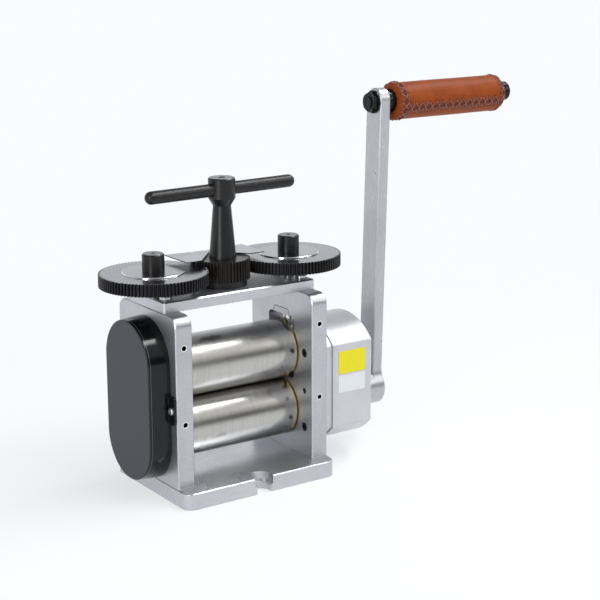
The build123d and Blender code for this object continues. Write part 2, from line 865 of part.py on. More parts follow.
def bearing_block():
    start, end = inner_face + block_end_clearance, outer_face - block_end_clearance
    half_width = window_width / 2 - slide_clearance
    block = box((start, end), (-half_width, half_width), (block_bottom, block_top))
    block = chamfer(block.edges().filter_by(Axis.X), block_chamfer)
    block -= bar_x(bush_radius, start, end, 0, upper_z)
    block -= bar_z(button_radius + seat_clearance, block_top - button_sunk, block_top, column_x)
    for y in (-spring_spread, spring_spread):
        block -= bar_z(spring_pocket_radius, block_bottom, block_bottom + spring_block_pocket,
                       column_x, y)
    return block


def upper_roller_bushes():
    start, end = inner_face - bush_projection, outer_face - block_end_clearance
    bush = bar_x(bush_radius - seat_clearance, start, end, 0, upper_z)
    bush -= bar_x(journal_radius + running_clearance, start, end, 0, upper_z)
    return joined([mirrored(side, bush) for side in sides.values()])


def thrust_buttons():
    # Hardened buttons that the feet of the pressure screws bear on
    bottom = block_top - button_sunk
    button = bar_z(button_radius, bottom, bottom + button_sunk + button_stand, column_x)
    button = chamfer(button.edges().group_by(Axis.Z)[-1], button_chamfer)
    return joined([mirrored(side, button) for side in sides.values()])


# ---- Pressure screws, their gears and dials ---------------------------------

foot_bottom = block_top + button_stand + face_clearance
stud_top = screw_gear_top + dial_thickness + screw_stud_length


def pressure_screw(x):
    thread_bottom = foot_bottom + screw_foot_length
    flange_bottom = screw_gear_bottom - screw_flange_thickness
    screw = turned_z(foot_bottom, [
        (screw_foot_radius, thread_bottom),
        (screw_thread_radius, flange_bottom),
        (screw_flange_radius, screw_gear_bottom),
        (screw_stud_radius, stud_top),
    ], x)
    return screw + flat_shaft_z(screw_seat_radius, screw_seat_flat, screw_gear_bottom,
                                screw_gear_top, x)


def adjust_gear(teeth, phase, bottom, width):
    distance = column_x
    module = 2 * distance / (pinion_teeth + screw_gear_teeth)
    pitch_radius = module * teeth / 2
    face = gear_face(teeth, pitch_radius, adjust_pressure,
                     pitch_radius + adjust_addendum_share * module,
                     pitch_radius - adjust_dedendum_share * module, adjust_backlash, phase, 2)
    return extrude(Plane.XY.offset(bottom) * face, width)


def screw_gear(x):
    gear = Pos(x, 0, 0) * adjust_gear(screw_gear_teeth, pi / screw_gear_teeth, screw_gear_bottom,
                                      screw_gear_width)
    return gear - flat_shaft_z(screw_seat_radius + seat_clearance,
                               screw_seat_flat + seat_clearance,
                               screw_gear_bottom, screw_gear_top, x)


def dial(x):
    disc = bar_z(dial_radius, screw_gear_top, screw_gear_top + dial_thickness, x)
    disc = chamfer(disc.edges().group_by(Axis.Z)[-1], dial_chamfer)
    return disc - bar_z(screw_stud_radius + thread_clearance, screw_gear_top,
                        screw_gear_top + dial_thickness, x)


def screw_post(x):
    bottom = screw_gear_top + dial_thickness
    post = bar_z(post_radius, bottom, bottom + post_height, x)
    post = chamfer(post.edges().group_by(Axis.Z)[-1], post_chamfer)
    post -= Pos(x, 0, bottom + post_height) * Sphere(post_dimple_radius)
    return post - bar_z(screw_stud_radius + thread_clearance, bottom, stud_top + stud_end_gap, x)


# ---- Adjusting handle -------------------------------------------------------

spindle_top = pinion_top + spindle_hub_bottom + spindle_hub_height
t_bar_z = spindle_top - t_bar_below_top
spindle_bottom = column_top - spindle_tail


def spindle():
    neck_z, hub_z = pinion_top + spindle_neck_height, pinion_top + spindle_hub_bottom
    profile = [
        (0, spindle_bottom), (spindle_shaft_radius, spindle_bottom),
        (spindle_shaft_radius, pinion_top), (spindle_base_radius, pinion_top),
        (spindle_neck_radius, neck_z), (spindle_hub_radius, hub_z),
        (spindle_hub_radius, spindle_top - spindle_hub_chamfer),
        (spindle_hub_radius - spindle_hub_chamfer, spindle_top), (0, spindle_top),
    ]
    body = revolve(Plane.XZ * Polygon(*profile, align=None), axis=Axis.Z)
    body += flat_shaft_z(spindle_seat_radius, spindle_seat_flat, pinion_bottom, pinion_top, 0)
    bar = Pos(0, 0, t_bar_z) * Rot(0, 0, t_bar_angle) * bar_x(
        t_bar_radius + seat_clearance, -2 * spindle_hub_radius, 2 * spindle_hub_radius)
    body -= bar
    body -= bar_z(t_screw_radius + thread_clearance, t_bar_z, spindle_top)
    start = column_top - face_clearance - circlip_thickness
    body -= (bar_z(spindle_shaft_radius + 1, start - face_clearance, start + circlip_thickness)
             - bar_z(spindle_shaft_radius - spindle_groove_depth, start - face_clearance, start + circlip_thickness))
    return body


def spindle_circlip():
    start = column_top - face_clearance - circlip_thickness
    ring = (bar_z(spindle_base_radius, start, start + circlip_thickness)
            - bar_z(spindle_shaft_radius - spindle_groove_depth + seat_clearance, start, start + circlip_thickness))
    half = circlip_gap_width / 2
    return ring - box((-half, half), (0, spindle_base_radius + 1), (start, start + circlip_thickness))


def adjusting_pinion():
    gear = adjust_gear(pinion_teeth, 0, pinion_bottom, pinion_width)
    return gear - flat_shaft_z(spindle_seat_radius + seat_clearance,
                               spindle_seat_flat + seat_clearance, pinion_bottom, pinion_top, 0)


def t_bar():
    half = t_bar_length / 2 - t_bar_radius
    bar = bar_x(t_bar_radius, -half, half)
    for x in (-half, half):
        bar += Pos(x, 0, 0) * Sphere(t_bar_radius)
    return Pos(0, 0, t_bar_z) * Rot(0, 0, t_bar_angle) * bar


def t_bar_set_screw():
    bottom = t_bar_z + t_bar_radius + seat_clearance
    top = bottom + t_screw_length
    screw = bar_z(t_screw_radius, bottom, top)
    return screw - Pos(0, 0, top) * extrude(hexagon(t_screw_socket), -t_screw_socket_depth)


# ---- Layshaft and crank shaft -----------------------------------------------

def layshaft():
    # The small pinion is cut in the shaft; the large wheel sits on a flat beside it
    start = back_plate_end - layshaft_bush_length + guard_clearance
    end = boss_start + layshaft_bush_length - guard_clearance
    shaft = bar_x(layshaft_journal_radius, start, end, 0, layshaft_z)
    shaft += bar_x(layshaft_seat_radius, roller_wheel_end, first_stage_start, 0, layshaft_z)
    shaft += flat_shaft_x(layshaft_seat_radius, layshaft_seat_flat, first_stage_start,
                          first_stage_end, layshaft_z)
    phase = -pi / 2 + pi / layshaft_pinion_teeth
    return shaft + train_gear(layshaft_pinion_teeth, second_module, phase, roller_wheel_start,
                              second_stage_width, layshaft_z)


def layshaft_wheel():
    phase = -pi / 2 + pi / layshaft_wheel_teeth
    wheel = train_gear(layshaft_wheel_teeth, gear_module, phase, first_stage_start,
                       first_stage_width, layshaft_z)
    return wheel - flat_shaft_x(layshaft_seat_radius + seat_clearance,
                                layshaft_seat_flat + seat_clearance,
                                first_stage_start, first_stage_end, layshaft_z)


def crank_shaft():
    nose_start = wheel_clip_end + shaft_end_margin - crank_nose_length
    screw_length = crank_screw[1]
    seat_end = hub_end - crank_seat_short
    shaft = turned_x(nose_start, [
        (crank_nose_radius, first_stage_start),
        (crank_journal_radius, hub_start),
    ], 0, lower_z)
    shaft += train_gear(crank_pinion_teeth, gear_module, pi / 2, first_stage_start,
                        first_stage_width, lower_z)
    shaft += flat_shaft_x(crank_seat_radius, crank_seat_flat, hub_start, seat_end, lower_z)
    return shaft - bar_x(crank_screw[0] + thread_clearance,
                         hub_end + crank_washer_thickness - screw_length - tapping_margin, seat_end, 0, lower_z)


def crank_arm():
    arm = Pos(0, crank_radius / 2) * Rectangle(crank_arm_width, crank_radius)
    outline = Circle(crank_hub_radius) + arm
    inner = [corner for corner in outline.vertices() if 5 < corner.Y < crank_hub_radius]
    outline = fillet(inner, crank_arm_fillet)
    outline += Pos(0, crank_radius + crank_arm_end / 2) * Rectangle(crank_arm_width, crank_arm_end)
    outline += Pos(0, crank_radius + crank_arm_end) * Circle(crank_arm_width / 2)
    bar = extrude(Plane.YZ.offset(arm_start) * outline, crank_arm_thickness)
    rims = bar.faces().sort_by(Axis.X)[0].edges() + bar.faces().sort_by(Axis.X)[-1].edges()
    bar = chamfer(rims, crank_arm_edge)
    hub = bar_x(crank_hub_radius, hub_start, hub_end)
    bar += chamfer(hub.edges().filter_by(GeomType.CIRCLE), crank_arm_edge)
    bar -= bar_x(handle_bolt_radius + thread_clearance, arm_start, hub_end, 0, crank_radius)
    bar = Pos(0, 0, lower_z) * Rot(crank_lean, 0, 0) * bar
    return bar - flat_shaft_x(crank_seat_radius + seat_clearance,
                              crank_seat_flat + seat_clearance, hub_start, hub_end, lower_z)


def crank_washer():
    end = hub_end + crank_washer_thickness
    return (bar_x(crank_washer_radius, hub_end, end, 0, lower_z)
            - bar_x(crank_screw[0] + shank_clearance, hub_end, end, 0, lower_z))


def crank_retaining_screw():
    screw = Rot(0, 90, 0) * cap_screw(crank_screw)
    return Pos(hub_end + crank_washer_thickness, 0, lower_z) * screw


# ---- Handle -----------------------------------------------------------------

washer_start = arm_start - handle_washer_thickness
nut_start = washer_start - handle_nut_thickness
grip_start = hub_end + grip_mouth_inset
grip_end = grip_start + grip_length
core_start = hub_end + collar_length + face_clearance
head_start = grip_end + guard_clearance


def handle_bolt():
    bolt = bar_x(handle_bolt_radius, nut_start - bolt_end_stand, head_start, handle_y, handle_z)
    head = bar_x(handle_head_radius, head_start, head_start + handle_head_length, handle_y, handle_z)
    return bolt + chamfer(head.edges().filter_by(GeomType.CIRCLE), handle_head_chamfer)


def handle_nut():
    # Two of the flats lie across the end of the arm
    turn = Rot(crank_lean + 30, 0, 0)
    prism = turn * extrude(Plane.YZ.offset(nut_start) * hexagon(handle_nut_flats), handle_nut_thickness)
    rounding = bar_x(handle_nut_flats / sqrt(3), nut_start, washer_start)
    rounding = chamfer(rounding.edges().group_by(Axis.X)[0], nut_chamfer)
    nut = Pos(0, handle_y, handle_z) * (prism & rounding)
    return nut - bar_x(handle_bolt_radius + thread_clearance, nut_start, washer_start,
                       handle_y, handle_z)


def handle_washer():
    washer = bar_x(handle_washer_radius, washer_start, arm_start, handle_y, handle_z)
    return washer - bar_x(handle_bolt_radius + thread_clearance, washer_start, arm_start,
                          handle_y, handle_z)


def handle_collar():
    collar = bar_x(collar_radius, hub_end, hub_end + collar_length, handle_y, handle_z)
    return collar - bar_x(handle_bolt_radius + seat_clearance, hub_end, hub_end + collar_length,
                          handle_y, handle_z)


def grip_core():
    end = grip_end - leather_right_dome / 2
    core = bar_x(grip_core_radius, core_start, end, handle_y, handle_z)
    core = chamfer(core.edges().filter_by(GeomType.CIRCLE), grip_core_chamfer)
    return core - bar_x(handle_bolt_radius + running_clearance, core_start, end, handle_y, handle_z)


def leather_sleeve():
    # Leather drawn in over both ends of the core, more steeply on the crank's side
    outer = grip_core_radius + leather_thickness
    inner = grip_core_radius + seat_clearance
    core_end = grip_end - leather_right_dome / 2
    left_lip = (grip_start, leather_mouth_radius + leather_lip)
    right_lip = (grip_end, leather_right_mouth + leather_lip)
    corners = [right_lip, (grip_end, leather_right_mouth), (core_end, leather_right_mouth),
               (core_end, inner), (core_start, inner), (core_start, leather_mouth_radius),
               (grip_start, leather_mouth_radius), left_lip]
    left_shoulder = (grip_start + leather_left_roll, outer)
    right_shoulder = (grip_end - leather_right_dome, outer)
    profile = make_face([
        TangentArc(left_shoulder, left_lip, tangent=(-1, 0)),
        Line(left_shoulder, right_shoulder),
        TangentArc(right_shoulder, right_lip, tangent=(1, 0)),
        Polyline(*corners),
    ])
    return Pos(0, handle_y, handle_z) * revolve(profile, axis=Axis.X)


# ---- Everything, by node ----------------------------------------------------

nodes = {
    "base_plate": base_plate(),
    "column_base_screws": column_base_screws(),
    "left_column": left_column(),
    "right_column": right_column(),
    "screw_nuts": screw_nuts(),
    "lower_roller_bushes": lower_roller_bushes(),
    "return_springs": return_springs(),
    "top_plate": top_plate(),
    "top_plate_screws": top_plate_screws(),
    "spindle_bush": spindle_bush(),
    "index_plate": index_plate(),
    "index_posts": index_posts(),
    "gear_cover": gear_cover(),
    "gear_cover_screws": gear_cover_screws(),
    "gearbox_back_plate": gearbox_back_plate(),
    "gearbox_housing": gearbox_housing(),
    "gearbox_screws": gearbox_screws(),
    "gearbox_dowels": gearbox_dowels(),
    "layshaft_bushes": layshaft_bushes(),
    "crank_bush": crank_bush(),
    "yellow_label": label(yellow_label_bottom, yellow_label_height),
    "pale_label": label(pale_label_bottom, pale_label_height),
    "lower_roller": lower_roller(),
    "lower_sync_gear": sync_gear(lower_z, pi / 2),
    "roller_wheel": roller_wheel(),
    "lower_roller_keys": lower_roller_keys(),
    "lower_roller_circlips": lower_roller_circlips(),
    "left_bearing_block": mirror(bearing_block(), about=Plane.YZ),
    "right_bearing_block": bearing_block(),
    "upper_roller_bushes": upper_roller_bushes(),
    "thrust_buttons": thrust_buttons(),
    "upper_roller": upper_roller(),
    "upper_sync_gear": sync_gear(upper_z, -pi / 2 + pi / sync_teeth),
    "upper_roller_key": key(-sync_end, -sync_start - seat_clearance, upper_z),
    "upper_roller_circlip": circlip(-sync_clip_end, upper_z),
    "spindle": spindle(),
    "adjusting_pinion": adjusting_pinion(),
    "t_bar": t_bar(),
    "t_bar_set_screw": t_bar_set_screw(),
    "spindle_circlip": spindle_circlip(),
    "layshaft": layshaft(),
    "layshaft_wheel": layshaft_wheel(),
    "crank_shaft": crank_shaft(),
    "crank_arm": crank_arm(),
    "crank_washer": crank_washer(),
    "crank_retaining_screw": crank_retaining_screw(),
    "handle_bolt": handle_bolt(),
    "handle_nut": handle_nut(),
    "handle_washer": handle_washer(),
    "handle_collar": handle_collar(),
    "grip_core": grip_core(),
    "leather_sleeve": leather_sleeve(),
}
for side, sign in sides.items():
    nodes[side + "_pressure_screw"] = pressure_screw(sign * column_x)
    nodes[side + "_screw_gear"] = screw_gear(sign * column_x)
    nodes[side + "_dial"] = dial(sign * column_x)
    nodes[side + "_screw_post"] = screw_post(sign * column_x)

for name, shape in nodes.items():
    export_step(shape, "parts/" + name + ".step")
print(len(nodes), "nodes; roller opening", opening_travel, "mm")
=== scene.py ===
import math

import bpy
import numpy as np
from mathutils import Euler, Matrix, Vector


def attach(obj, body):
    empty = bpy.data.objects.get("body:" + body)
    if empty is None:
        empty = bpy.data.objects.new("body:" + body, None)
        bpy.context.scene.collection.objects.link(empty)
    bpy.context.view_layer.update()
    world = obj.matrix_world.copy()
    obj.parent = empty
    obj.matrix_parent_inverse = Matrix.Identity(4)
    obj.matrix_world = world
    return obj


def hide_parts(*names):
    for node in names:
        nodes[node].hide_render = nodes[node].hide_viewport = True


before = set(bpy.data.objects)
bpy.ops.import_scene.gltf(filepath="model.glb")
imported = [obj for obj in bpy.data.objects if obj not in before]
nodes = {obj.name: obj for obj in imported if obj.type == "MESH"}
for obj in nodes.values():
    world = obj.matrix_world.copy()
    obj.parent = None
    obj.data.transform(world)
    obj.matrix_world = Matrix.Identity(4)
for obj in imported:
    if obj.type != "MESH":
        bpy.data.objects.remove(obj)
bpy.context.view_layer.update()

print("frame loaded:", len(nodes), "nodes")

# The camera, at the photograph's place
cameraView = {
    "place": (-0.63871, -1.03145, 0.45031),
    "turn": 34.706,                          # degrees from +Y towards +X
    "down": 14.006,                          # degrees below the horizon
    "roll": -0.138,                          # degrees
    "focalPixels": 1538.15, "imagePixels": 600,
    "sensorWidth": 36.0,                     # millimetres
    "nearest": 0.02, "farthest": 80.0,
}


def makeCamera(view):
    # Turned from level along +Y: down, then to the right, with the roll about its own line of sight
    data = bpy.data.cameras.new("photoCamera")
    data.sensor_width = view["sensorWidth"]
    data.lens = view["focalPixels"] * data.sensor_width / view["imagePixels"]
    data.clip_start, data.clip_end = view["nearest"], view["farthest"]
    camera = bpy.data.objects.new("photoCamera", data)
    bpy.context.scene.collection.objects.link(camera)
    aim = Euler((math.pi / 2 - math.radians(view["down"]), 0, -math.radians(view["turn"])))
    turn = aim.to_matrix() @ Matrix.Rotation(math.radians(view["roll"]), 3, "Z")
    camera.matrix_world = Matrix.Translation(view["place"]) @ turn.to_4x4()
    bpy.context.scene.camera = camera
    bpy.context.scene.view_settings.view_transform = "Standard"


makeCamera(cameraView)
print("camera placed")


# Node helpers

def fillRamp(node, stops):
    # Each stop is a place from 0 to 1 and its colour
    band = node.color_ramp
    while len(band.elements) < len(stops):
        band.elements.new(0.5)
    for element, (place, color) in zip(band.elements, stops):
        element.position = place
        element.color = (*color, 1)


class Shader:
    # A material with its Principled shader, and short calls that add, set and join nodes
    def __init__(self, name):
        self.material = bpy.data.materials.new(name)
        self.material.use_nodes = True
        self.tree = self.material.node_tree
        self.tree.nodes.clear()
        self.output = self.add("ShaderNodeOutputMaterial")
        self.bsdf = self.add("ShaderNodeBsdfPrincipled")
        self.join(self.bsdf.outputs[0], self.output.inputs["Surface"])
        self.coordinates = self.add("ShaderNodeTexCoord").outputs["Object"]

    def add(self, kind, **settings):
        node = self.tree.nodes.new(kind)
        for key, value in settings.items():
            setattr(node, key, value)
        return node

    def join(self, source, target):
        self.tree.links.new(source, target)

    def set(self, **values):
        # Plain values on the Principled shader's own slots
        for key, value in values.items():
            self.bsdf.inputs[key.replace("_", " ")].default_value = value

    def feed(self, **sources):
        # Outputs joined to the Principled shader's slots
        for key, source in sources.items():
            self.join(source, self.bsdf.inputs[key.replace("_", " ")])

    def fill(self, slot, value):
        # A number or a colour is set on the slot, and an output is joined to it
        if isinstance(value, (int, float)):
            slot.default_value = value
        elif isinstance(value, tuple):
            slot.default_value = (*value, 1)
        else:
            self.join(value, slot)

    def mapped(self, scale):
        node = self.add("ShaderNodeMapping")
        node.inputs["Scale"].default_value = scale
        self.join(self.coordinates, node.inputs["Vector"])
        return node.outputs[0]

    def noise(self, vector, scale=1.0, detail=4.0, rough=0.55):
        node = self.add("ShaderNodeTexNoise")
        node.inputs["Scale"].default_value = scale
        node.inputs["Detail"].default_value = detail
        node.inputs["Roughness"].default_value = rough
        self.join(vector, node.inputs["Vector"])
        return node.outputs[0]

    def voronoi(self, vector, scale, feature):
        node = self.add("ShaderNodeTexVoronoi", feature=feature)
        node.inputs["Scale"].default_value = scale
        self.join(vector, node.inputs["Vector"])
        return node.outputs["Distance"]

    def attribute(self, name):
        return self.add("ShaderNodeAttribute", attribute_name=name).outputs["Fac"]

    def ramp(self, source, stops):
        node = self.add("ShaderNodeValToRGB")
        fillRamp(node, stops)
        self.join(source, node.inputs[0])
        return node.outputs[0]

    def shades(self, source, look, low=0.3, high=0.7):
        # The look's dark colour where the pattern is low and its light one where it is high
        return self.ramp(source, [(low, look["dark"]), (high, look["light"])])

    def spread(self, source, low, high, start=0.0, end=1.0):
        # From low at start to high at end, and level outside them
        node = self.add("ShaderNodeMapRange")
        limits = {"From Min": start, "From Max": end, "To Min": low, "To Max": high}
        for key, value in limits.items():
            node.inputs[key].default_value = value
        self.join(source, node.inputs["Value"])
        return node.outputs[0]

    def math(self, operation, first, second=None):
        node = self.add("ShaderNodeMath", operation=operation)
        self.fill(node.inputs[0], first)
        if second is not None:
            self.fill(node.inputs[1], second)
        return node.outputs[0]

    def length(self, first, second):
        # The square root of the sum of both squares
        return self.math("SQRT", self.math("ADD", self.math("POWER", first, 2),
                                           self.math("POWER", second, 2)))

    def mix(self, share, first, second, blend="MIX"):
        node = self.add("ShaderNodeMix", data_type="RGBA", blend_type=blend)
        for place, value in ((0, share), (6, first), (7, second)):
            self.fill(node.inputs[place], value)
        return node.outputs[2]

    def axes(self):
        node = self.add("ShaderNodeSeparateXYZ")
        self.join(self.coordinates, node.inputs[0])
        return node.outputs

    def bump(self, height, strength, distance, rounding=0.0, below=None):
        # Laid over the bump below it, or else over edges rounded by the given radius
        node = self.add("ShaderNodeBump")
        node.inputs["Strength"].default_value = strength
        node.inputs["Distance"].default_value = distance
        self.join(height, node.inputs["Height"])
        if below is not None:
            self.join(below, node.inputs["Normal"])
        elif rounding:
            bevel = self.add("ShaderNodeBevel", samples=4)
            bevel.inputs["Radius"].default_value = rounding
            self.join(bevel.outputs[0], node.inputs["Normal"])
        self.feed(Normal=node.outputs[0])
        return node.outputs[0]


def brushedAround(shader, centre, amount):
    # Turning marks: the tangent is the way from an axis along X, crossed with X, so it runs round
    away = shader.add("ShaderNodeVectorMath", operation="SUBTRACT")
    shader.join(shader.coordinates, away.inputs[0])
    away.inputs[1].default_value = centre
    cross = shader.add("ShaderNodeVectorMath", operation="CROSS_PRODUCT")
    shader.join(away.outputs[0], cross.inputs[0])
    cross.inputs[1].default_value = (1, 0, 0)
    turned = shader.add("ShaderNodeVectorTransform", vector_type="VECTOR",
                        convert_from="OBJECT", convert_to="WORLD")
    shader.join(cross.outputs[0], turned.inputs[0])
    shader.feed(Tangent=turned.outputs[0])
    shader.set(Anisotropic=amount)


def between(shader, value, low, high, soft):
    # 1 between low and high, falling to 0 over the soft width outside them
    rise = shader.spread(value, 0.0, 1.0, low - soft, low)
    fall = shader.spread(value, 1.0, 0.0, high, high + soft)
    return shader.math("MULTIPLY", rise, fall)


def dress(material, *names):
    # The material takes every slot of the named nodes
    for name in names:
        mesh = nodes[name].data
        mesh.materials.clear()
        mesh.materials.append(material)


grainPattern = {
    "grainDetail": 5.0, "grainRough": 0.6, "grainStops": (0.25, 0.75), "depth": 0.0001,
    "patchDetail": 3.0, "patchRough": 0.5, "patchRange": (0.3, 0.7), "stainStops": (0.35, 0.8),
}


def metal(name, look, pattern=grainPattern):
    # Fine stretched grain for colour and bump, wide patches for roughness, rounded edges
    shader = Shader(name)
    grain = shader.noise(shader.mapped(look["grain"]), 1.0,
                         look.get("detail", pattern["grainDetail"]), pattern["grainRough"])
    patches = shader.noise(shader.coordinates, look["patch"],
                           pattern["patchDetail"], pattern["patchRough"])
    color = shader.shades(grain, look, *pattern["grainStops"])
    clean, stained = pattern["stainStops"]
    stain = shader.ramp(patches, [(clean, (1, 1, 1)), (stained, look["stain"])])
    color = shader.mix(1.0, color, stain, "MULTIPLY")
    rough = shader.spread(patches, *look["roughness"], *pattern["patchRange"])
    shader.set(Metallic=look["metallic"], Specular_IOR_Level=look.get("specular", 0.5),
               Coat_Weight=look.get("coat", 0.0), Coat_Roughness=look.get("coatRoughness", 0.1))
    shader.bump(grain, look["bump"], pattern["depth"], look["rounding"])
    shader.feed(Base_Color=color, Roughness=rough)
    return shader, color


def dressMetal(name, look, *names):
    dress(metal(name, look)[0].material, *names)


# Ground steel of the base, the columns and the top plate

groundSteel = {
    "dark": (0.46, 0.47, 0.50), "light": (0.58, 0.59, 0.625), "stain": (0.88, 0.885, 0.90),
    "grain": (260, 260, 2400), "patch": 22.0, "metallic": 0.92, "roughness": (0.30, 0.42),
    "bump": 0.10, "rounding": 0.0006,
}
plateSteel = {
    **groundSteel, "dark": (0.50, 0.51, 0.54), "light": (0.63, 0.64, 0.675),
    "grain": (120, 2600, 2600), "roughness": (0.24, 0.36),
}
blockSteel = {
    **groundSteel, "dark": (0.20, 0.20, 0.21), "light": (0.30, 0.30, 0.31),
    "grain": (2200, 260, 260),
}
nutSteel = {**groundSteel, "grain": (900, 900, 900)}
accessoryHoles = {
    "x": 0.064, "low": 0.066, "high": 0.128,
    "edge": 0.0021, "ring": 0.0005, "soft": 0.0001,
    "ringDepth": (-0.0449, -0.0446), "boreDepth": (-0.0448, -0.0438),    # along Y
    # The ring's colour is a painted highlight, and the bore's colour is painted shade inside the
    # hole
    "ringHighlightColor": (0.92, 0.93, 0.95), "boreShadeColor": (0.03, 0.03, 0.035),
}
nutEnd = {
    "bottom": 0.1290, "top": 0.1345, "halfBottom": 0.0128, "halfTop": 0.0098,
    "ribs": 9000.0,                          # radians per metre along Y
    "ribShare": 0.5, "ribColor": (0.2, 0.2, 0.22),
    # The line along the top and the slanted sides is a painted shadow
    "outline": (0.0005, 0.00065), "lineColor": (0.015, 0.015, 0.016),
}


def ringedHoles(shader, color, holes):
    # A ring round each accessory hole, painted light as a highlight on its turned edge, and painted
    # shade inside the hole
    x, y, z = shader.axes()[:3]
    across = shader.math("SUBTRACT", shader.math("ABSOLUTE", x), holes["x"])
    middle = (holes["low"] + holes["high"]) / 2
    upright = shader.math("ABSOLUTE", shader.math("SUBTRACT", z, middle))
    upright = shader.math("SUBTRACT", upright, holes["high"] - middle)
    away = shader.length(across, upright)
    edge, soft = holes["edge"], holes["soft"]
    ring = between(shader, away, edge, edge + holes["ring"], soft)
    front = shader.spread(y, 1.0, 0.0, *holes["ringDepth"])
    color = shader.mix(shader.math("MULTIPLY", ring, front), color, holes["ringHighlightColor"])
    disc = shader.spread(away, 1.0, 0.0, edge, edge + soft)
    inside = shader.math("MULTIPLY", disc, shader.spread(y, 0.0, 1.0, *holes["boreDepth"]))
    return shader.mix(inside, color, holes["boreShadeColor"])


def nutStrip(shader, color, strip):
    # Fine ribs across the screw nut's end, and a painted shadow line under its top and along its
    # slanted sides
    y, z = shader.axes()[1:3]
    ribs = shader.math("SINE", shader.math("MULTIPLY", y, strip["ribs"]))
    color = shader.mix(shader.math("MULTIPLY", ribs, strip["ribShare"]), color, strip["ribColor"])
    side = shader.spread(z, strip["halfBottom"], strip["halfTop"], strip["bottom"], strip["top"])
    inset = shader.math("SUBTRACT", side, shader.math("ABSOLUTE", y))
    inset = shader.math("MINIMUM", inset, shader.math("SUBTRACT", strip["top"], z))
    return shader.mix(shader.spread(inset, 1.0, 0.0, *strip["outline"]), color, strip["lineColor"])


columnShader, columnColor = metal("columnSteel", groundSteel)
columnShader.feed(Base_Color=ringedHoles(columnShader, columnColor, accessoryHoles))
dress(columnShader.material, "left_column", "right_column")
dressMetal("plateSteel", plateSteel, "base_plate", "top_plate")
dressMetal("blockSteel", blockSteel, "left_bearing_block", "right_bearing_block")
nutShader, nutColor = metal("screwNutSteel", nutSteel)
nutShader.feed(Base_Color=nutStrip(nutShader, nutColor, nutEnd))
dress(nutShader.material, "screw_nuts")
print("frame plates dressed")


# Rollers

rollerPolish = {
    "dark": (0.43, 0.425, 0.41), "light": (0.56, 0.555, 0.535), "stain": (0.94, 0.93, 0.91),
    "grain": (2600, 25, 25), "patch": 18.0, "metallic": 1.0, "roughness": (0.18, 0.24),
    "bump": 0.04, "rounding": 0.0006, "brushed": 0.85,
}
rollerHeights = {"lower": 0.04955, "upper": 0.09955}
heatTint = {
    "start": 0.0505, "end": 0.0556,          # from the middle of the barrel
    "straw": (0.72, 0.52, 0.22), "share": 0.75,
    "leftShare": 0.25, "fade": (-0.02, 0.05),
    "line": 0.00035, "soft": 0.0001, "lineColor": (0.08, 0.07, 0.06),
}


def rollerShader(name, polish, tint, height):
    # Straw colour near the ends of the barrel, weaker at the left, and a thin dark line at its end
    shader, color = metal(name, polish)
    brushedAround(shader, (0, 0, height), polish["brushed"])
    x = shader.axes()[0]
    along = shader.math("ABSOLUTE", x)
    warm = shader.spread(along, 0.0, tint["share"], tint["start"], tint["end"])
    side = shader.spread(x, tint["leftShare"], 1.0, *tint["fade"])
    color = shader.mix(shader.math("MULTIPLY", warm, side), color, tint["straw"])
    edge = between(shader, along, tint["end"], tint["end"] + tint["line"], tint["soft"])
    shader.feed(Base_Color=shader.mix(edge, color, tint["lineColor"]))
    return shader.material


dress(rollerShader("lowerRollerSteel", rollerPolish, heatTint, rollerHeights["lower"]),
      "lower_roller")
dress(rollerShader("upperRollerSteel", rollerPolish, heatTint, rollerHeights["upper"]),
      "upper_roller")
print("rollers dressed")


# Dark and bright turned pieces

blackSteel = {
    "dark": (0.004, 0.004, 0.0045), "light": (0.010, 0.010, 0.0105), "stain": (0.8, 0.8, 0.8),
    "grain": (500, 500, 1400), "patch": 60.0, "metallic": 0.0, "roughness": (0.28, 0.36),
    "bump": 0.012, "specular": 0.36, "rounding": 0.0004,
}
blackBar = {
    **blackSteel, "grain": (60, 900, 900), "light": (0.012, 0.012, 0.014),
    "roughness": (0.34, 0.42),
}
blackScrew = {
    **blackSteel, "grain": (900, 900, 900), "rounding": 0.00025, "roughness": (0.15, 0.24),
    "specular": 0.20,
}
pinionBlack = {
    **blackSteel, "dark": (0.013, 0.012, 0.011), "light": (0.035, 0.031, 0.027),
    "metallic": 0.5, "roughness": (0.26, 0.36),
}
darkGear = {
    **blackSteel, "dark": (0.10, 0.10, 0.10), "light": (0.17, 0.17, 0.165), "metallic": 0.9,
    "roughness": (0.34, 0.46),
}
springWire = {
    **blackSteel, "dark": (0.2, 0.2, 0.21), "light": (0.32, 0.32, 0.33), "metallic": 1.0,
}
buttonSteel = {
    **groundSteel, "dark": (0.6, 0.6, 0.6), "light": (0.75, 0.75, 0.75),
    "grain": (600, 600, 600), "roughness": (0.18, 0.28),
}
bronzeTurned = {
    **groundSteel, "dark": (0.42, 0.27, 0.12), "light": (0.58, 0.38, 0.18),
    "grain": (1600, 300, 300), "roughness": (0.28, 0.4),
}
zincScrew = {
    **groundSteel, "dark": (0.5, 0.5, 0.5), "light": (0.68, 0.68, 0.67),
    "grain": (900, 900, 900), "roughness": (0.2, 0.34), "rounding": 0.00025,
}
sheenTopEnds = {
    "spindle": 0.2490, "post": 0.1951,       # heights of the top ends, painted lighter as sheen
    "depth": 0.0003, "gray": (0.155, 0.157, 0.162), "metallic": 0.7,
}


def sheenTopShader(name, look, sheen, height):
    # The end at the top is painted a lighter grey, a painted sheen for the light on its upward face
    shader, color = metal(name, look)
    sheenShare = shader.spread(shader.axes()[2], 0.0, 1.0, height - sheen["depth"], height)
    shader.feed(Base_Color=shader.mix(sheenShare, color, sheen["gray"]),
                Metallic=shader.math("MULTIPLY", sheenShare, sheen["metallic"]))
    return shader.material


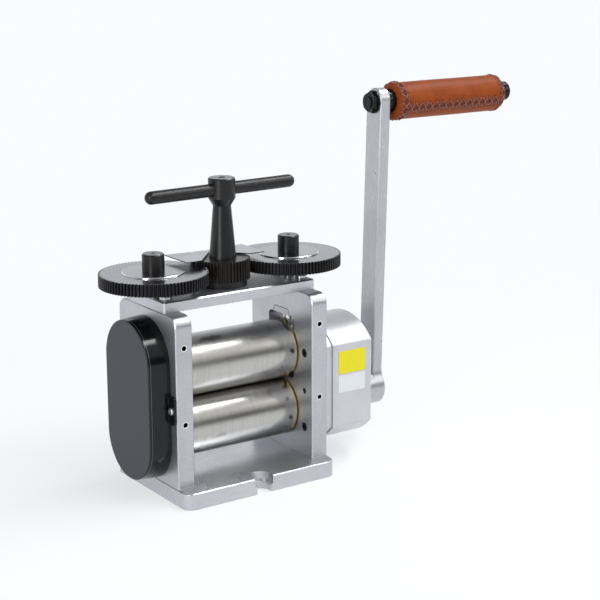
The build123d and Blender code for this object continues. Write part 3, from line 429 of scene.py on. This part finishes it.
dress(sheenTopShader("spindleSteel", blackSteel, sheenTopEnds, sheenTopEnds["spindle"]), "spindle")
dress(sheenTopShader("postSteel", blackSteel, sheenTopEnds, sheenTopEnds["post"]),
      "left_screw_post", "right_screw_post")
dressMetal("blackBar", blackBar, "t_bar", "spindle_bush")
dressMetal("pinionSteel", pinionBlack, "adjusting_pinion")
dressMetal("turnedSteel", buttonSteel, "thrust_buttons", "left_pressure_screw",
           "right_pressure_screw", "index_posts")
dressMetal("gearSteel", darkGear, "lower_sync_gear", "upper_sync_gear", "roller_wheel",
           "layshaft", "layshaft_wheel", "crank_shaft", "lower_roller_keys", "upper_roller_key")
dressMetal("bronze", bronzeTurned, "lower_roller_bushes", "upper_roller_bushes",
           "layshaft_bushes", "crank_bush")
dressMetal("springWire", springWire, "return_springs")
dressMetal("zincScrew", zincScrew, "gear_cover_screws", "top_plate_screws", "crank_washer",
           "crank_retaining_screw")
dressMetal("blackScrew", blackScrew, "column_base_screws", "gearbox_screws", "gearbox_dowels",
           "t_bar_set_screw", "spindle_circlip", "upper_roller_circlip",
           "lower_roller_circlips", "handle_nut", "handle_washer", "handle_bolt",
           "handle_collar")


# Screw gears, dials and index plate

gearBlack = {
    **pinionBlack, "dark": (0.010, 0.010, 0.011), "light": (0.028, 0.028, 0.030),
    "roughness": (0.30, 0.19),               # of the teeth and of the top face
}
gearFace = {
    "top": 0.17994, "soft": 0.0002, "grain": 260.0, "detail": 5.0, "metallic": 1.0,
    "dark": (0.20, 0.205, 0.225), "light": (0.25, 0.255, 0.28),
}


def screwGearShader(name, look, face):
    # Black teeth, and a bright machined top from the height of the top face
    shader, color = metal(name, look)
    top = shader.spread(shader.axes()[2], 0.0, 1.0, face["top"] - face["soft"], face["top"])
    gray = shader.shades(shader.noise(shader.coordinates, face["grain"], face["detail"]), face)
    shader.feed(Base_Color=shader.mix(top, color, gray),
                Metallic=shader.spread(top, look["metallic"], face["metallic"]),
                Roughness=shader.spread(top, *look["roughness"]))
    return shader.material


dress(screwGearShader("screwGearSteel", gearBlack, gearFace),
      "left_screw_gear", "right_screw_gear")

dialPlate = {
    **groundSteel, "dark": (0.27, 0.275, 0.295), "light": (0.34, 0.345, 0.37),
    "grain": (500, 500, 500), "roughness": (0.14, 0.22), "bump": 0.03, "metallic": 1.0,
    "rounding": 0.0003,
}
dialCentres = {"left": -0.064, "right": 0.064}
dialMarks = {
    "short": {"count": 50, "width": 0.045, "inner": 0.0220},      # width as a share of the pitch
    "long": {"count": 10, "width": 0.01125, "inner": 0.0195},
    "outer": 0.0240, "fade": 1.6, "rim": 0.0246, "soft": 0.0001,
    # The rim's colour is a painted highlight
    "lineColor": (0.10, 0.10, 0.11), "rimHighlightColor": (0.93, 0.93, 0.94),
}


def dialShader(name, centreX, look, marks):
    # Radial division lines near the rim, every fifth one longer, and a painted highlight round the
    # rim
    shader, color = metal(name, look)
    x, y = shader.axes()[:2]
    along = shader.math("SUBTRACT", x, centreX)
    angle = shader.math("ARCTAN2", y, along)
    away = shader.length(along, y)

    def lines(kind):
        turns = kind["count"] / (2 * math.pi)
        place = shader.math("FRACT", shader.math("MULTIPLY", angle, turns))
        near = shader.math("MINIMUM", place, shader.math("SUBTRACT", 1.0, place))
        drawn = shader.spread(near, 1.0, 0.0, kind["width"], kind["width"] * marks["fade"])
        reach = between(shader, away, kind["inner"], marks["outer"], marks["soft"])
        return shader.math("MULTIPLY", drawn, reach)

    either = shader.math("MAXIMUM", lines(marks["short"]), lines(marks["long"]))
    # The bright rim is a painted highlight on the dial's edge
    rim = shader.spread(away, 0.0, 1.0, marks["rim"] - marks["soft"], marks["rim"])
    color = shader.mix(either, color, marks["lineColor"])
    shader.feed(Base_Color=shader.mix(rim, color, marks["rimHighlightColor"]))
    return shader.material


dress(dialShader("leftDialSteel", dialCentres["left"], dialPlate, dialMarks), "left_dial")
dress(dialShader("rightDialSteel", dialCentres["right"], dialPlate, dialMarks), "right_dial")

indexPlate = {
    **groundSteel, "dark": (0.40, 0.41, 0.44), "light": (0.47, 0.48, 0.51),
    "grain": (1800, 200, 200), "roughness": (0.26, 0.36), "rounding": 0.00005,
    # The edge colour is painted shade on the cut edge below the face
    "faceZ": 0.1852, "edgeDepth": (0.00012, 0.00004), "edge": (0.03, 0.03, 0.032),
}


def shadedEdgeShader(name, look):
    # The cut edge below the face is painted dark as shade
    shader, color = metal(name, look)
    lower, upper = (look["faceZ"] - depth for depth in look["edgeDepth"])
    low = shader.spread(shader.axes()[2], 1.0, 0.0, lower, upper)
    shader.feed(Base_Color=shader.mix(low, color, look["edge"]))
    return shader.material


dress(shadedEdgeShader("indexPlateSteel", indexPlate), "index_plate")
print("adjusting gear dressed")


# Gear cover, gearbox and crank

coverPlastic = {
    "dark": (0.0035, 0.004, 0.005), "light": (0.006, 0.0065, 0.008), "stain": (0.85, 0.85, 0.86),
    "grain": (900, 900, 900), "patch": 14.0, "metallic": 0.0,
    "roughness": (0.42, 0.14),               # of the face and of the sides
    "bump": 0.03, "rounding": 0.0008, "specular": 0.30,
}
coverFace = {
    "x": -0.0901, "soft": 0.0005, "color": (0.030, 0.034, 0.044),
    "lineX": -0.0881, "lineWidth": 0.00025, "lineSoft": 0.0001, "lineColor": (0.10, 0.10, 0.11),
}


def coverShader(name, look, face):
    # A satin grey face, glossy black sides, and a fine moulding line beside the face
    shader, color = metal(name, look)
    x = shader.axes()[0]
    share = shader.spread(x, 1.0, 0.0, face["x"], face["x"] + face["soft"])
    color = shader.mix(share, color, face["color"])
    seam = between(shader, x, face["lineX"], face["lineX"] + face["lineWidth"], face["lineSoft"])
    gloss = shader.spread(x, *look["roughness"], face["x"], face["x"] + face["soft"])
    shader.feed(Base_Color=shader.mix(seam, color, face["lineColor"]), Roughness=gloss)
    return shader.material


dress(coverShader("coverPlastic", coverPlastic, coverFace), "gear_cover")

castPaint = {
    "dark": (0.50, 0.51, 0.54), "light": (0.62, 0.63, 0.66), "stain": (0.92, 0.92, 0.93),
    "grain": (1300, 1300, 1300), "detail": 3.0, "patch": 30.0, "metallic": 0.5,
    "roughness": (0.34, 0.44), "bump": 0.16, "rounding": 0.0010,
    "coat": 0.2, "coatRoughness": 0.25,
}
crankCast = {
    **castPaint, "dark": (0.42, 0.435, 0.46), "light": (0.50, 0.515, 0.54),
    "grain": (700, 700, 220), "metallic": 0.7, "roughness": (0.26, 0.34), "bump": 0.04,
}
dressMetal("gearboxPaint", castPaint, "gearbox_housing", "gearbox_back_plate")
dressMetal("crankMetal", crankCast, "crank_arm")

yellowFilm = {
    "dark": (0.66, 0.585, 0.008), "light": (0.73, 0.655, 0.012),
    "grain": 900.0, "detail": 3.0, "roughness": 0.4, "specular": 0.3,
    "bump": 0.05, "depth": 0.0001, "rounding": 0.0002,
}
paleFilm = {**yellowFilm, "dark": (0.61, 0.64, 0.67), "light": (0.67, 0.70, 0.73)}


def filmShader(name, look):
    # Blank satin film with a slight mottle
    shader = Shader(name)
    mottle = shader.noise(shader.coordinates, look["grain"], look["detail"])
    shader.feed(Base_Color=shader.shades(mottle, look))
    shader.set(Roughness=look["roughness"], Specular_IOR_Level=look["specular"])
    shader.bump(mottle, look["bump"], look["depth"], look["rounding"])
    return shader.material


dress(filmShader("yellowFilm", yellowFilm), "yellow_label")
dress(filmShader("paleFilm", paleFilm), "pale_label")

gripWood = {
    "dark": (0.22, 0.11, 0.05), "light": (0.42, 0.25, 0.12), "grain": (12, 220, 220),
    "detail": 6.0, "grainRough": 0.65, "roughness": 0.55, "bump": 0.15, "depth": 0.0002,
}


def woodShader(name, look):
    # Long grain along the handle
    shader = Shader(name)
    rings = shader.noise(shader.mapped(look["grain"]), 1.0, look["detail"], look["grainRough"])
    shader.feed(Base_Color=shader.shades(rings, look))
    shader.set(Roughness=look["roughness"])
    shader.bump(rings, look["bump"], look["depth"])
    return shader.material


dress(woodShader("gripWood", gripWood), "grip_core")
print("cover, gearbox and crank dressed")


# Leather sleeve on the grip

sleeve = {
    "axisY": -0.00874, "axisZ": 0.29980,
    "left": 0.1618, "right": 0.2822,         # ends along X
    "radius": 0.01565, "leftRoll": 0.0026, "rightDome": 0.0100,
    "leftLip": 0.0108, "rightLip": 0.0071, "leftMouth": 0.0097, "rightMouth": 0.0057,
    "innerRadius": 0.01353, "coreLeft": 0.1640, "coreRight": 0.2773,
    "sag": 0.0009,                           # the leather is fuller below the core
    "seamAngle": 22.0,                       # degrees below the front
    "seamHalf": 0.0042, "seamRise": 0.00035, "seamGroove": 0.0006,
    "ringLeft": 0.1675, "ringRight": 0.2762, "ringHalf": 0.0038,
    "lipPlace": 0.62, "lipWidth": 0.42, "grooveWidth": 0.22,      # shares of a seam's half width
    "pinch": 0.45,
    "stitchPitch": 0.0074, "ringStitches": 13, "stitchShare": 0.42, "seamClear": 0.004,
    "holeRadius": 0.0007, "holeDepth": 0.0005,
    "waveHeight": 0.00012, "waveAlong": 95, "waveSway": 2.1, "waveRound": 2, "waveStart": 0.7,
    "puckerHeight": 0.00045, "puckerWidth": 0.0045,
    "around": 288, "rollSteps": 24, "runSteps": 300, "domeSteps": 36,
}
thread = {
    "radius": 0.00042, "lift": 0.00045, "crossing": 1.1, "dip": 0.0007,
    "stations": 9, "sides": 6,
}


def sleeveOutline(size):
    # x and radius along the outside: a quarter ellipse at the left mouth, a straight run, and a
    # quarter ellipse as a dome at the right
    turn = np.linspace(math.pi / 2, 0, size["rollSteps"])
    leftX = size["left"] + size["leftRoll"] * (1 - np.sin(turn))
    leftR = size["leftLip"] + (size["radius"] - size["leftLip"]) * np.cos(turn)
    runX = np.linspace(size["left"] + size["leftRoll"], size["right"] - size["rightDome"],
                       size["runSteps"])[1:-1]
    runR = np.full(runX.shape, size["radius"])
    turn = np.linspace(0, math.pi / 2, size["domeSteps"])
    rightX = size["right"] - size["rightDome"] * (1 - np.sin(turn))
    rightR = size["rightLip"] + (size["radius"] - size["rightLip"]) * np.cos(turn)
    return np.concatenate([leftX, runX, rightX]), np.concatenate([leftR, runR, rightR])


def wrapped(angle):
    # The same angle between minus and plus half a turn
    return (angle + math.pi) % (2 * math.pi) - math.pi


def seamRelief(size, x, angle):
    # Two bell-shaped lips with a bell-shaped groove between them, along the seam and round each
    # ring, pinched by a cosine at every stitch, and beside it the nearness to a seam
    def lips(away, half):
        place, width = half * size["lipPlace"], half * size["lipWidth"]
        hump = np.exp(-((np.abs(away) - place) / width) ** 2)
        groove = np.exp(-(away / (half * size["grooveWidth"])) ** 2)
        return size["seamRise"] * hump - size["seamGroove"] * groove

    across = wrapped(angle - math.radians(size["seamAngle"])) * size["radius"]
    inside = (x > size["ringLeft"]) & (x < size["ringRight"])
    cycle = 2 * math.pi * (x - size["ringLeft"]) / size["stitchPitch"]
    pinch = 1 + size["pinch"] * np.cos(cycle)
    relief = np.where(inside, lips(across, size["seamHalf"]) * pinch, 0.0)
    near = np.where(inside, np.exp(-(across / size["seamHalf"]) ** 2), 0.0)
    swell = 1 + size["pinch"] * np.cos(angle * size["ringStitches"])
    for ring in (size["ringLeft"], size["ringRight"]):
        relief = relief + lips(x - ring, size["ringHalf"]) * swell
        near = np.maximum(near, np.exp(-((x - ring) / size["ringHalf"]) ** 2))
    return relief, near


def makeMesh(name, points, faces, values=None):
    # A smooth piece from points and quads, with any values kept as attributes of its points
    mesh = bpy.data.meshes.new(name)
    mesh.from_pydata(points.reshape(-1, 3).tolist(), [], faces.tolist())
    mesh.polygons.foreach_set("use_smooth", np.ones(len(mesh.polygons), bool))
    for key, data in (values or {}).items():
        layer = mesh.attributes.new(key, "FLOAT", "POINT")
        layer.data.foreach_set("value", data.astype(np.float32).ravel())
    mesh.update()
    piece = bpy.data.objects.new(name, mesh)
    bpy.context.scene.collection.objects.link(piece)
    return piece


def gridFaces(rows, columns, closeRows, closeColumns):
    # Quads between neighbours of a grid whose rows and columns may run round
    down = np.arange(rows if closeRows else rows - 1)
    along = np.arange(columns if closeColumns else columns - 1)
    row, column = np.meshgrid(down, along, indexing="ij")
    nextRow, nextColumn = (row + 1) % rows, (column + 1) % columns
    quads = np.stack([row * columns + column, nextRow * columns + column,
                      nextRow * columns + nextColumn, row * columns + nextColumn], -1)
    return quads.reshape(-1, 4)


def roundPoints(size, x, radius, angle):
    # From the handle's axis, the radius times the cosine forwards and times the sine downwards
    return np.stack([x, size["axisY"] - radius * np.cos(angle),
                     size["axisZ"] - radius * np.sin(angle)], -1)


def makeSleeve(size):
    # The outline turned round the axis, with the seam's relief, soft waves made of sines, a sine
    # that sags below and a pucker that fades from the left end, closed along the core
    x, radius = sleeveOutline(size)
    angle = np.linspace(0, 2 * math.pi, size["around"], endpoint=False)
    gridX, gridAngle = np.meshgrid(x, angle, indexing="ij")
    gridR = np.repeat(radius[:, None], len(angle), 1)
    relief, near = seamRelief(size, gridX, gridAngle)
    hole = holeMask(size, gridX, gridAngle)
    relief = relief - size["holeDepth"] * hole
    sway = np.sin(gridX * size["waveAlong"] + size["waveSway"] * np.sin(gridAngle))
    wave = size["waveHeight"] * sway * np.sin(gridAngle * size["waveRound"] + size["waveStart"])
    fade = np.exp(-((gridX - size["left"]) / size["puckerWidth"]) ** 2) * size["puckerHeight"]
    pucker = fade * np.cos(gridAngle * size["ringStitches"] + math.pi)
    gridR = gridR + relief + wave + size["sag"] * np.sin(gridAngle) + pucker
    inside = np.array([
        (size["right"], size["rightMouth"]), (size["coreRight"], size["rightMouth"]),
        (size["coreRight"], size["innerRadius"]), (size["coreLeft"], size["innerRadius"]),
        (size["coreLeft"], size["leftMouth"]), (size["left"], size["leftMouth"]),
    ])
    innerX = np.repeat(inside[:, 0:1], len(angle), 1)
    innerR = np.repeat(inside[:, 1:2], len(angle), 1)
    allX, allR = np.concatenate([gridX, innerX]), np.concatenate([gridR, innerR])
    allAngle = np.repeat(angle[None, :], len(allX), 0)
    plain = np.zeros(innerX.shape)
    values = {"seam": np.concatenate([near, plain]), "hole": np.concatenate([hole, plain])}
    points = roundPoints(size, allX, allR, allAngle)
    return makeMesh("leather_cover", points, gridFaces(len(allX), len(angle), True, True), values)


def stitchEnds(size):
    # A row for each stitch: x and angle of its start, x and angle of its end, and 1 if it lies
    # on top. Two stitches cross in each cell of the seam and of both rings
    seam = math.radians(size["seamAngle"])
    pitch, half = size["stitchPitch"], size["ringHalf"]
    count = int((size["ringRight"] - size["ringLeft"] - size["seamClear"]) / pitch)
    first = (size["ringLeft"] + size["ringRight"] - count * pitch) / 2
    cells = first + (np.arange(count) + 0.5) * pitch
    reach, halfTurn = pitch * size["stitchShare"], size["seamHalf"] / size["radius"]
    step = 2 * math.pi / size["ringStitches"]
    places = (np.arange(size["ringStitches"]) + 0.5) * step
    ways = (-1, 1)

    def stitches(startX, startAngle, endX, endAngle, way):
        columns = (startX, startAngle, endX, endAngle, 0.5 * (1 + way))
        return np.stack(np.broadcast_arrays(*columns), -1)

    ends = []
    for way in ways:
        tilt = way * halfTurn
        ends.append(stitches(cells - reach, seam - tilt, cells + reach, seam + tilt, way))
    for ring in (size["ringLeft"], size["ringRight"]):
        for way in ways:
            tilt = way * step * size["stitchShare"]
            ends.append(stitches(ring - half, places - tilt, ring + half, places + tilt, way))
    return np.concatenate(ends)


def holeMask(size, x, angle):
    # A soft round dent at both ends of every stitch, a bell of the distance over the leather
    ends = stitchEnds(size)
    both = np.concatenate([ends[:, 0:2], ends[:, 2:4]]) % (2 * math.pi)
    places = np.unique(np.round(both, 5), axis=0)
    along = x[..., None] - places[:, 0]
    across = wrapped(angle[..., None] - places[:, 1]) * size["radius"]
    return np.exp(-(along ** 2 + across ** 2) / size["holeRadius"] ** 2).max(axis=-1)


def makeStitches(size, cord):
    # Each stitch is a small tube along the root of half a sine: it rises out of one hole, lies
    # over the leather and goes into the next
    ends = stitchEnds(size)
    share = np.linspace(0, 1, cord["stations"])[None, :]
    x = ends[:, 0:1] * (1 - share) + ends[:, 2:3] * share
    angle = ends[:, 1:2] * (1 - share) + ends[:, 3:4] * share
    radius = np.interp(x, *sleeveOutline(size))
    arch = np.sqrt(np.sin(math.pi * share))
    lift = cord["lift"] + ends[:, 4:5] * cord["radius"] * cord["crossing"]
    height = radius + size["sag"] * np.sin(angle) + arch * lift - (1 - arch) * cord["dip"]
    centre = roundPoints(size, x, height, angle)
    outward = np.stack([np.zeros(x.shape), -np.cos(angle), -np.sin(angle)], -1)
    along = np.gradient(centre, axis=1)
    along /= np.linalg.norm(along, axis=-1, keepdims=True)
    side = np.cross(along, outward)
    side /= np.linalg.norm(side, axis=-1, keepdims=True)
    up = np.cross(side, along)
    turn = np.linspace(0, 2 * math.pi, cord["sides"], endpoint=False)[:, None]
    ring = cord["radius"] * (np.cos(turn) * side[..., None, :] + np.sin(turn) * up[..., None, :])
    one = gridFaces(cord["stations"], cord["sides"], False, True)
    starts = np.arange(len(ends)) * cord["stations"] * cord["sides"]
    faces = (one[None] + starts[:, None, None]).reshape(-1, 4)
    return makeMesh("leather_stitches", centre[..., None, :] + ring, faces)


tanLeather = {
    "deep": (0.175, 0.033, 0.005), "tan": (0.24, 0.045, 0.004), "pale": (0.29, 0.064, 0.010),
    "clouds": 70.0, "cloudDetail": 5.0, "cloudRough": 0.6, "cloudStops": (0.25, 0.5, 0.8),
    "pore": (0.10, 0.020, 0.005), "pores": 1500.0, "poreShare": 0.22, "poreWidth": 0.12,
    "poreBump": 0.22, "poreDepth": 0.00012,
    "creases": (260, 900, 900), "creaseDetail": 6.0, "creaseRough": 0.65,
    "creaseBump": 0.20, "creaseDepth": 0.00025,
    "sewn": (0.135, 0.033, 0.021), "sewnShare": 0.85, "sewnRange": (0.15, 0.75),
    # The hole colour is painted shade in the stitch holes
    "hole": (0.016, 0.006, 0.005), "holeRange": (0.35, 0.75),
    "roughness": (0.42, 0.54), "roughRange": (0.3, 0.7), "specular": 0.14,
}
waxedThread = {
    "dark": (0.11, 0.036, 0.027), "light": (0.36, 0.155, 0.11), "stops": (0.35, 0.65),
    "grain": 2600.0, "detail": 2.0, "roughness": 0.5, "specular": 0.5,
    "bump": 0.4, "depth": 0.0001,
}


def leatherShader(name, look):
    # Warm tan clouds with fine pores and creases, darker where it is sewn, and painted shade in the
    # stitch holes
    shader = Shader(name)
    clouds = shader.noise(shader.coordinates, look["clouds"], look["cloudDetail"],
                          look["cloudRough"])
    tones = (look["deep"], look["tan"], look["pale"])
    color = shader.ramp(clouds, list(zip(look["cloudStops"], tones)))
    pores = shader.voronoi(shader.coordinates, look["pores"], "DISTANCE_TO_EDGE")
    creases = shader.noise(shader.mapped(look["creases"]), 1.0, look["creaseDetail"],
                           look["creaseRough"])
    pitted = shader.spread(pores, look["poreShare"], 0.0, 0.0, look["poreWidth"])
    color = shader.mix(pitted, color, look["pore"])
    sewn = shader.spread(shader.attribute("seam"), 0.0, look["sewnShare"], *look["sewnRange"])
    color = shader.mix(sewn, color, look["sewn"])
    holeShade = shader.spread(shader.attribute("hole"), 0.0, 1.0, *look["holeRange"])
    shader.feed(Base_Color=shader.mix(holeShade, color, look["hole"]),
                Roughness=shader.spread(clouds, *look["roughness"], *look["roughRange"]))
    shader.set(Specular_IOR_Level=look["specular"])
    fine = shader.bump(pores, look["poreBump"], look["poreDepth"])
    shader.bump(creases, look["creaseBump"], look["creaseDepth"], below=fine)
    return shader.material


def threadShader(name, look):
    # Waxed thread, mottled as finely as its twist
    shader = Shader(name)
    twist = shader.noise(shader.coordinates, look["grain"], look["detail"])
    shader.feed(Base_Color=shader.shades(twist, look, *look["stops"]))
    shader.set(Roughness=look["roughness"], Specular_IOR_Level=look["specular"])
    shader.bump(twist, look["bump"], look["depth"])
    return shader.material


leatherCover = makeSleeve(sleeve)
leatherCover.data.materials.append(leatherShader("tanLeather", tanLeather))
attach(leatherCover, "grip")
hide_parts("leather_sleeve")
stitches = makeStitches(sleeve, thread)
stitches.data.materials.append(threadShader("waxedThread", waxedThread))
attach(stitches, "grip")
print("leather grip made:", len(leatherCover.data.polygons), "faces and",
      len(stitches.data.polygons), "in its stitches")


# Floor, world and lamps

studio = {
    "floorSize": 30.0, "floorDrop": 0.0001, "floorColor": (0.86, 0.87, 0.89),
    "floorShade": 0.985, "floorMottle": 3.0, "floorDetail": 2.0,
    "floorRoughness": 0.7, "floorSpecular": 0.2,
    "glow": (0.955, 0.972, 0.992), "middle": (0.03, 0.02),
    "nearShare": 0.62, "farShare": 1.0, "nearRadius": 0.16, "farRadius": 0.75,
    # The room's colours from the horizon to straight up, towards the front and the back
    "front": ((0.00, (0.30, 0.30, 0.31)), (0.05, (0.02, 0.02, 0.02)), (0.25, (0.02, 0.02, 0.02)),
              (0.38, (0.78, 0.77, 0.74)), (0.72, (0.74, 0.74, 0.73)), (0.84, (0.22, 0.22, 0.23))),
    "back": ((0.00, (0.98, 1.0, 1.0)), (0.38, (0.95, 0.97, 1.0)), (0.60, (0.40, 0.41, 0.44)),
             (0.92, (0.30, 0.30, 0.31))),
    "sideBlend": (-0.25, 0.25),
}
lamps = {
    "key": {"place": (0.75, -0.55, 1.65), "size": (2.2, 0.30), "power": 29.0},
    "left": {"place": (-1.20, -0.70, 0.50), "size": (0.35, 0.95), "power": 8.0},
    "right": {"place": (1.6, -1.2, 1.0), "size": (0.9, 0.9), "power": 5.5},
}
lampTarget = (0.06, 0.0, 0.12)


def makeFloor(look):
    # A flat square just below the object, with a slight mottle
    half = look["floorSize"] / 2
    corners = np.array([(-half, -half, 0), (half, -half, 0), (half, half, 0), (-half, half, 0)])
    floor = makeMesh("studio_floor", corners - (0, 0, look["floorDrop"]),
                     np.array([[0, 1, 2, 3]]))
    shader = Shader("floorPaint")
    mottle = shader.noise(shader.coordinates, look["floorMottle"], look["floorDetail"])
    shade = tuple(look["floorShade"] * value for value in look["floorColor"])
    shader.feed(Base_Color=shader.shades(mottle, {"dark": shade, "light": look["floorColor"]}))
    shader.set(Roughness=look["floorRoughness"], Specular_IOR_Level=look["floorSpecular"])
    # The share of plain white grows away from the object, so the floor near it keeps the shadow
    glow = shader.add("ShaderNodeEmission")
    glow.inputs["Color"].default_value = (*look["glow"], 1)
    glow.inputs["Strength"].default_value = 1.0
    path = shader.add("ShaderNodeLightPath")
    seen = shader.math("MAXIMUM", path.outputs["Is Camera Ray"], path.outputs["Is Glossy Ray"])
    seen = shader.math("MAXIMUM", seen, path.outputs["Is Transmission Ray"])
    x, y = shader.axes()[:2]
    middleX, middleY = look["middle"]
    away = shader.length(shader.math("SUBTRACT", x, middleX), shader.math("SUBTRACT", y, middleY))
    share = shader.spread(away, look["nearShare"], look["farShare"],
                          look["nearRadius"], look["farRadius"])
    blend = shader.add("ShaderNodeMixShader")
    shader.join(shader.math("MULTIPLY", seen, share), blend.inputs[0])
    shader.join(shader.bsdf.outputs[0], blend.inputs[1])
    shader.join(glow.outputs[0], blend.inputs[2])
    shader.join(blend.outputs[0], shader.output.inputs["Surface"])
    floor.data.materials.append(shader.material)


def makeWorld(look):
    # White to the camera. To everything else a room: dark just above the front horizon and pale
    # higher up, and pale at the back
    world = bpy.data.worlds.new("softRoom")
    world.use_nodes = True
    tree = world.node_tree
    tree.nodes.clear()
    add, join = tree.nodes.new, tree.links.new
    output, white, room = (add(kind) for kind in (
        "ShaderNodeOutputWorld", "ShaderNodeBackground", "ShaderNodeBackground"))
    white.inputs["Color"].default_value = (1, 1, 1, 1)
    split = add("ShaderNodeSeparateXYZ")
    join(add("ShaderNodeTexCoord").outputs["Generated"], split.inputs[0])
    turn = add("ShaderNodeMapRange")
    for key, value in zip(("From Min", "From Max"), look["sideBlend"]):
        turn.inputs[key].default_value = value
    join(split.outputs[1], turn.inputs[0])
    both = add("ShaderNodeMix")
    both.data_type = "RGBA"
    join(turn.outputs[0], both.inputs[0])
    for place, stops in ((6, look["front"]), (7, look["back"])):
        ramp = add("ShaderNodeValToRGB")
        fillRamp(ramp, stops)
        join(split.outputs[2], ramp.inputs[0])
        join(ramp.outputs[0], both.inputs[place])
    join(both.outputs[2], room.inputs["Color"])
    blend = add("ShaderNodeMixShader")
    join(add("ShaderNodeLightPath").outputs["Is Camera Ray"], blend.inputs[0])
    join(room.outputs[0], blend.inputs[1])
    join(white.outputs[0], blend.inputs[2])
    join(blend.outputs[0], output.inputs["Surface"])
    bpy.context.scene.world = world


def makeLamp(name, lamp, target):
    # A rectangular lamp turned to look at the target
    data = bpy.data.lights.new(name, "AREA")
    data.shape = "RECTANGLE"
    data.size, data.size_y = lamp["size"]
    data.energy = lamp["power"]
    light = bpy.data.objects.new(name, data)
    light.location = lamp["place"]
    aim = Vector(target) - Vector(lamp["place"])
    light.rotation_euler = aim.to_track_quat("-Z", "Y").to_euler()
    bpy.context.scene.collection.objects.link(light)


makeFloor(studio)
makeWorld(studio)
for lampName, lampValues in lamps.items():
    makeLamp(lampName, lampValues, lampTarget)
print("studio lit")
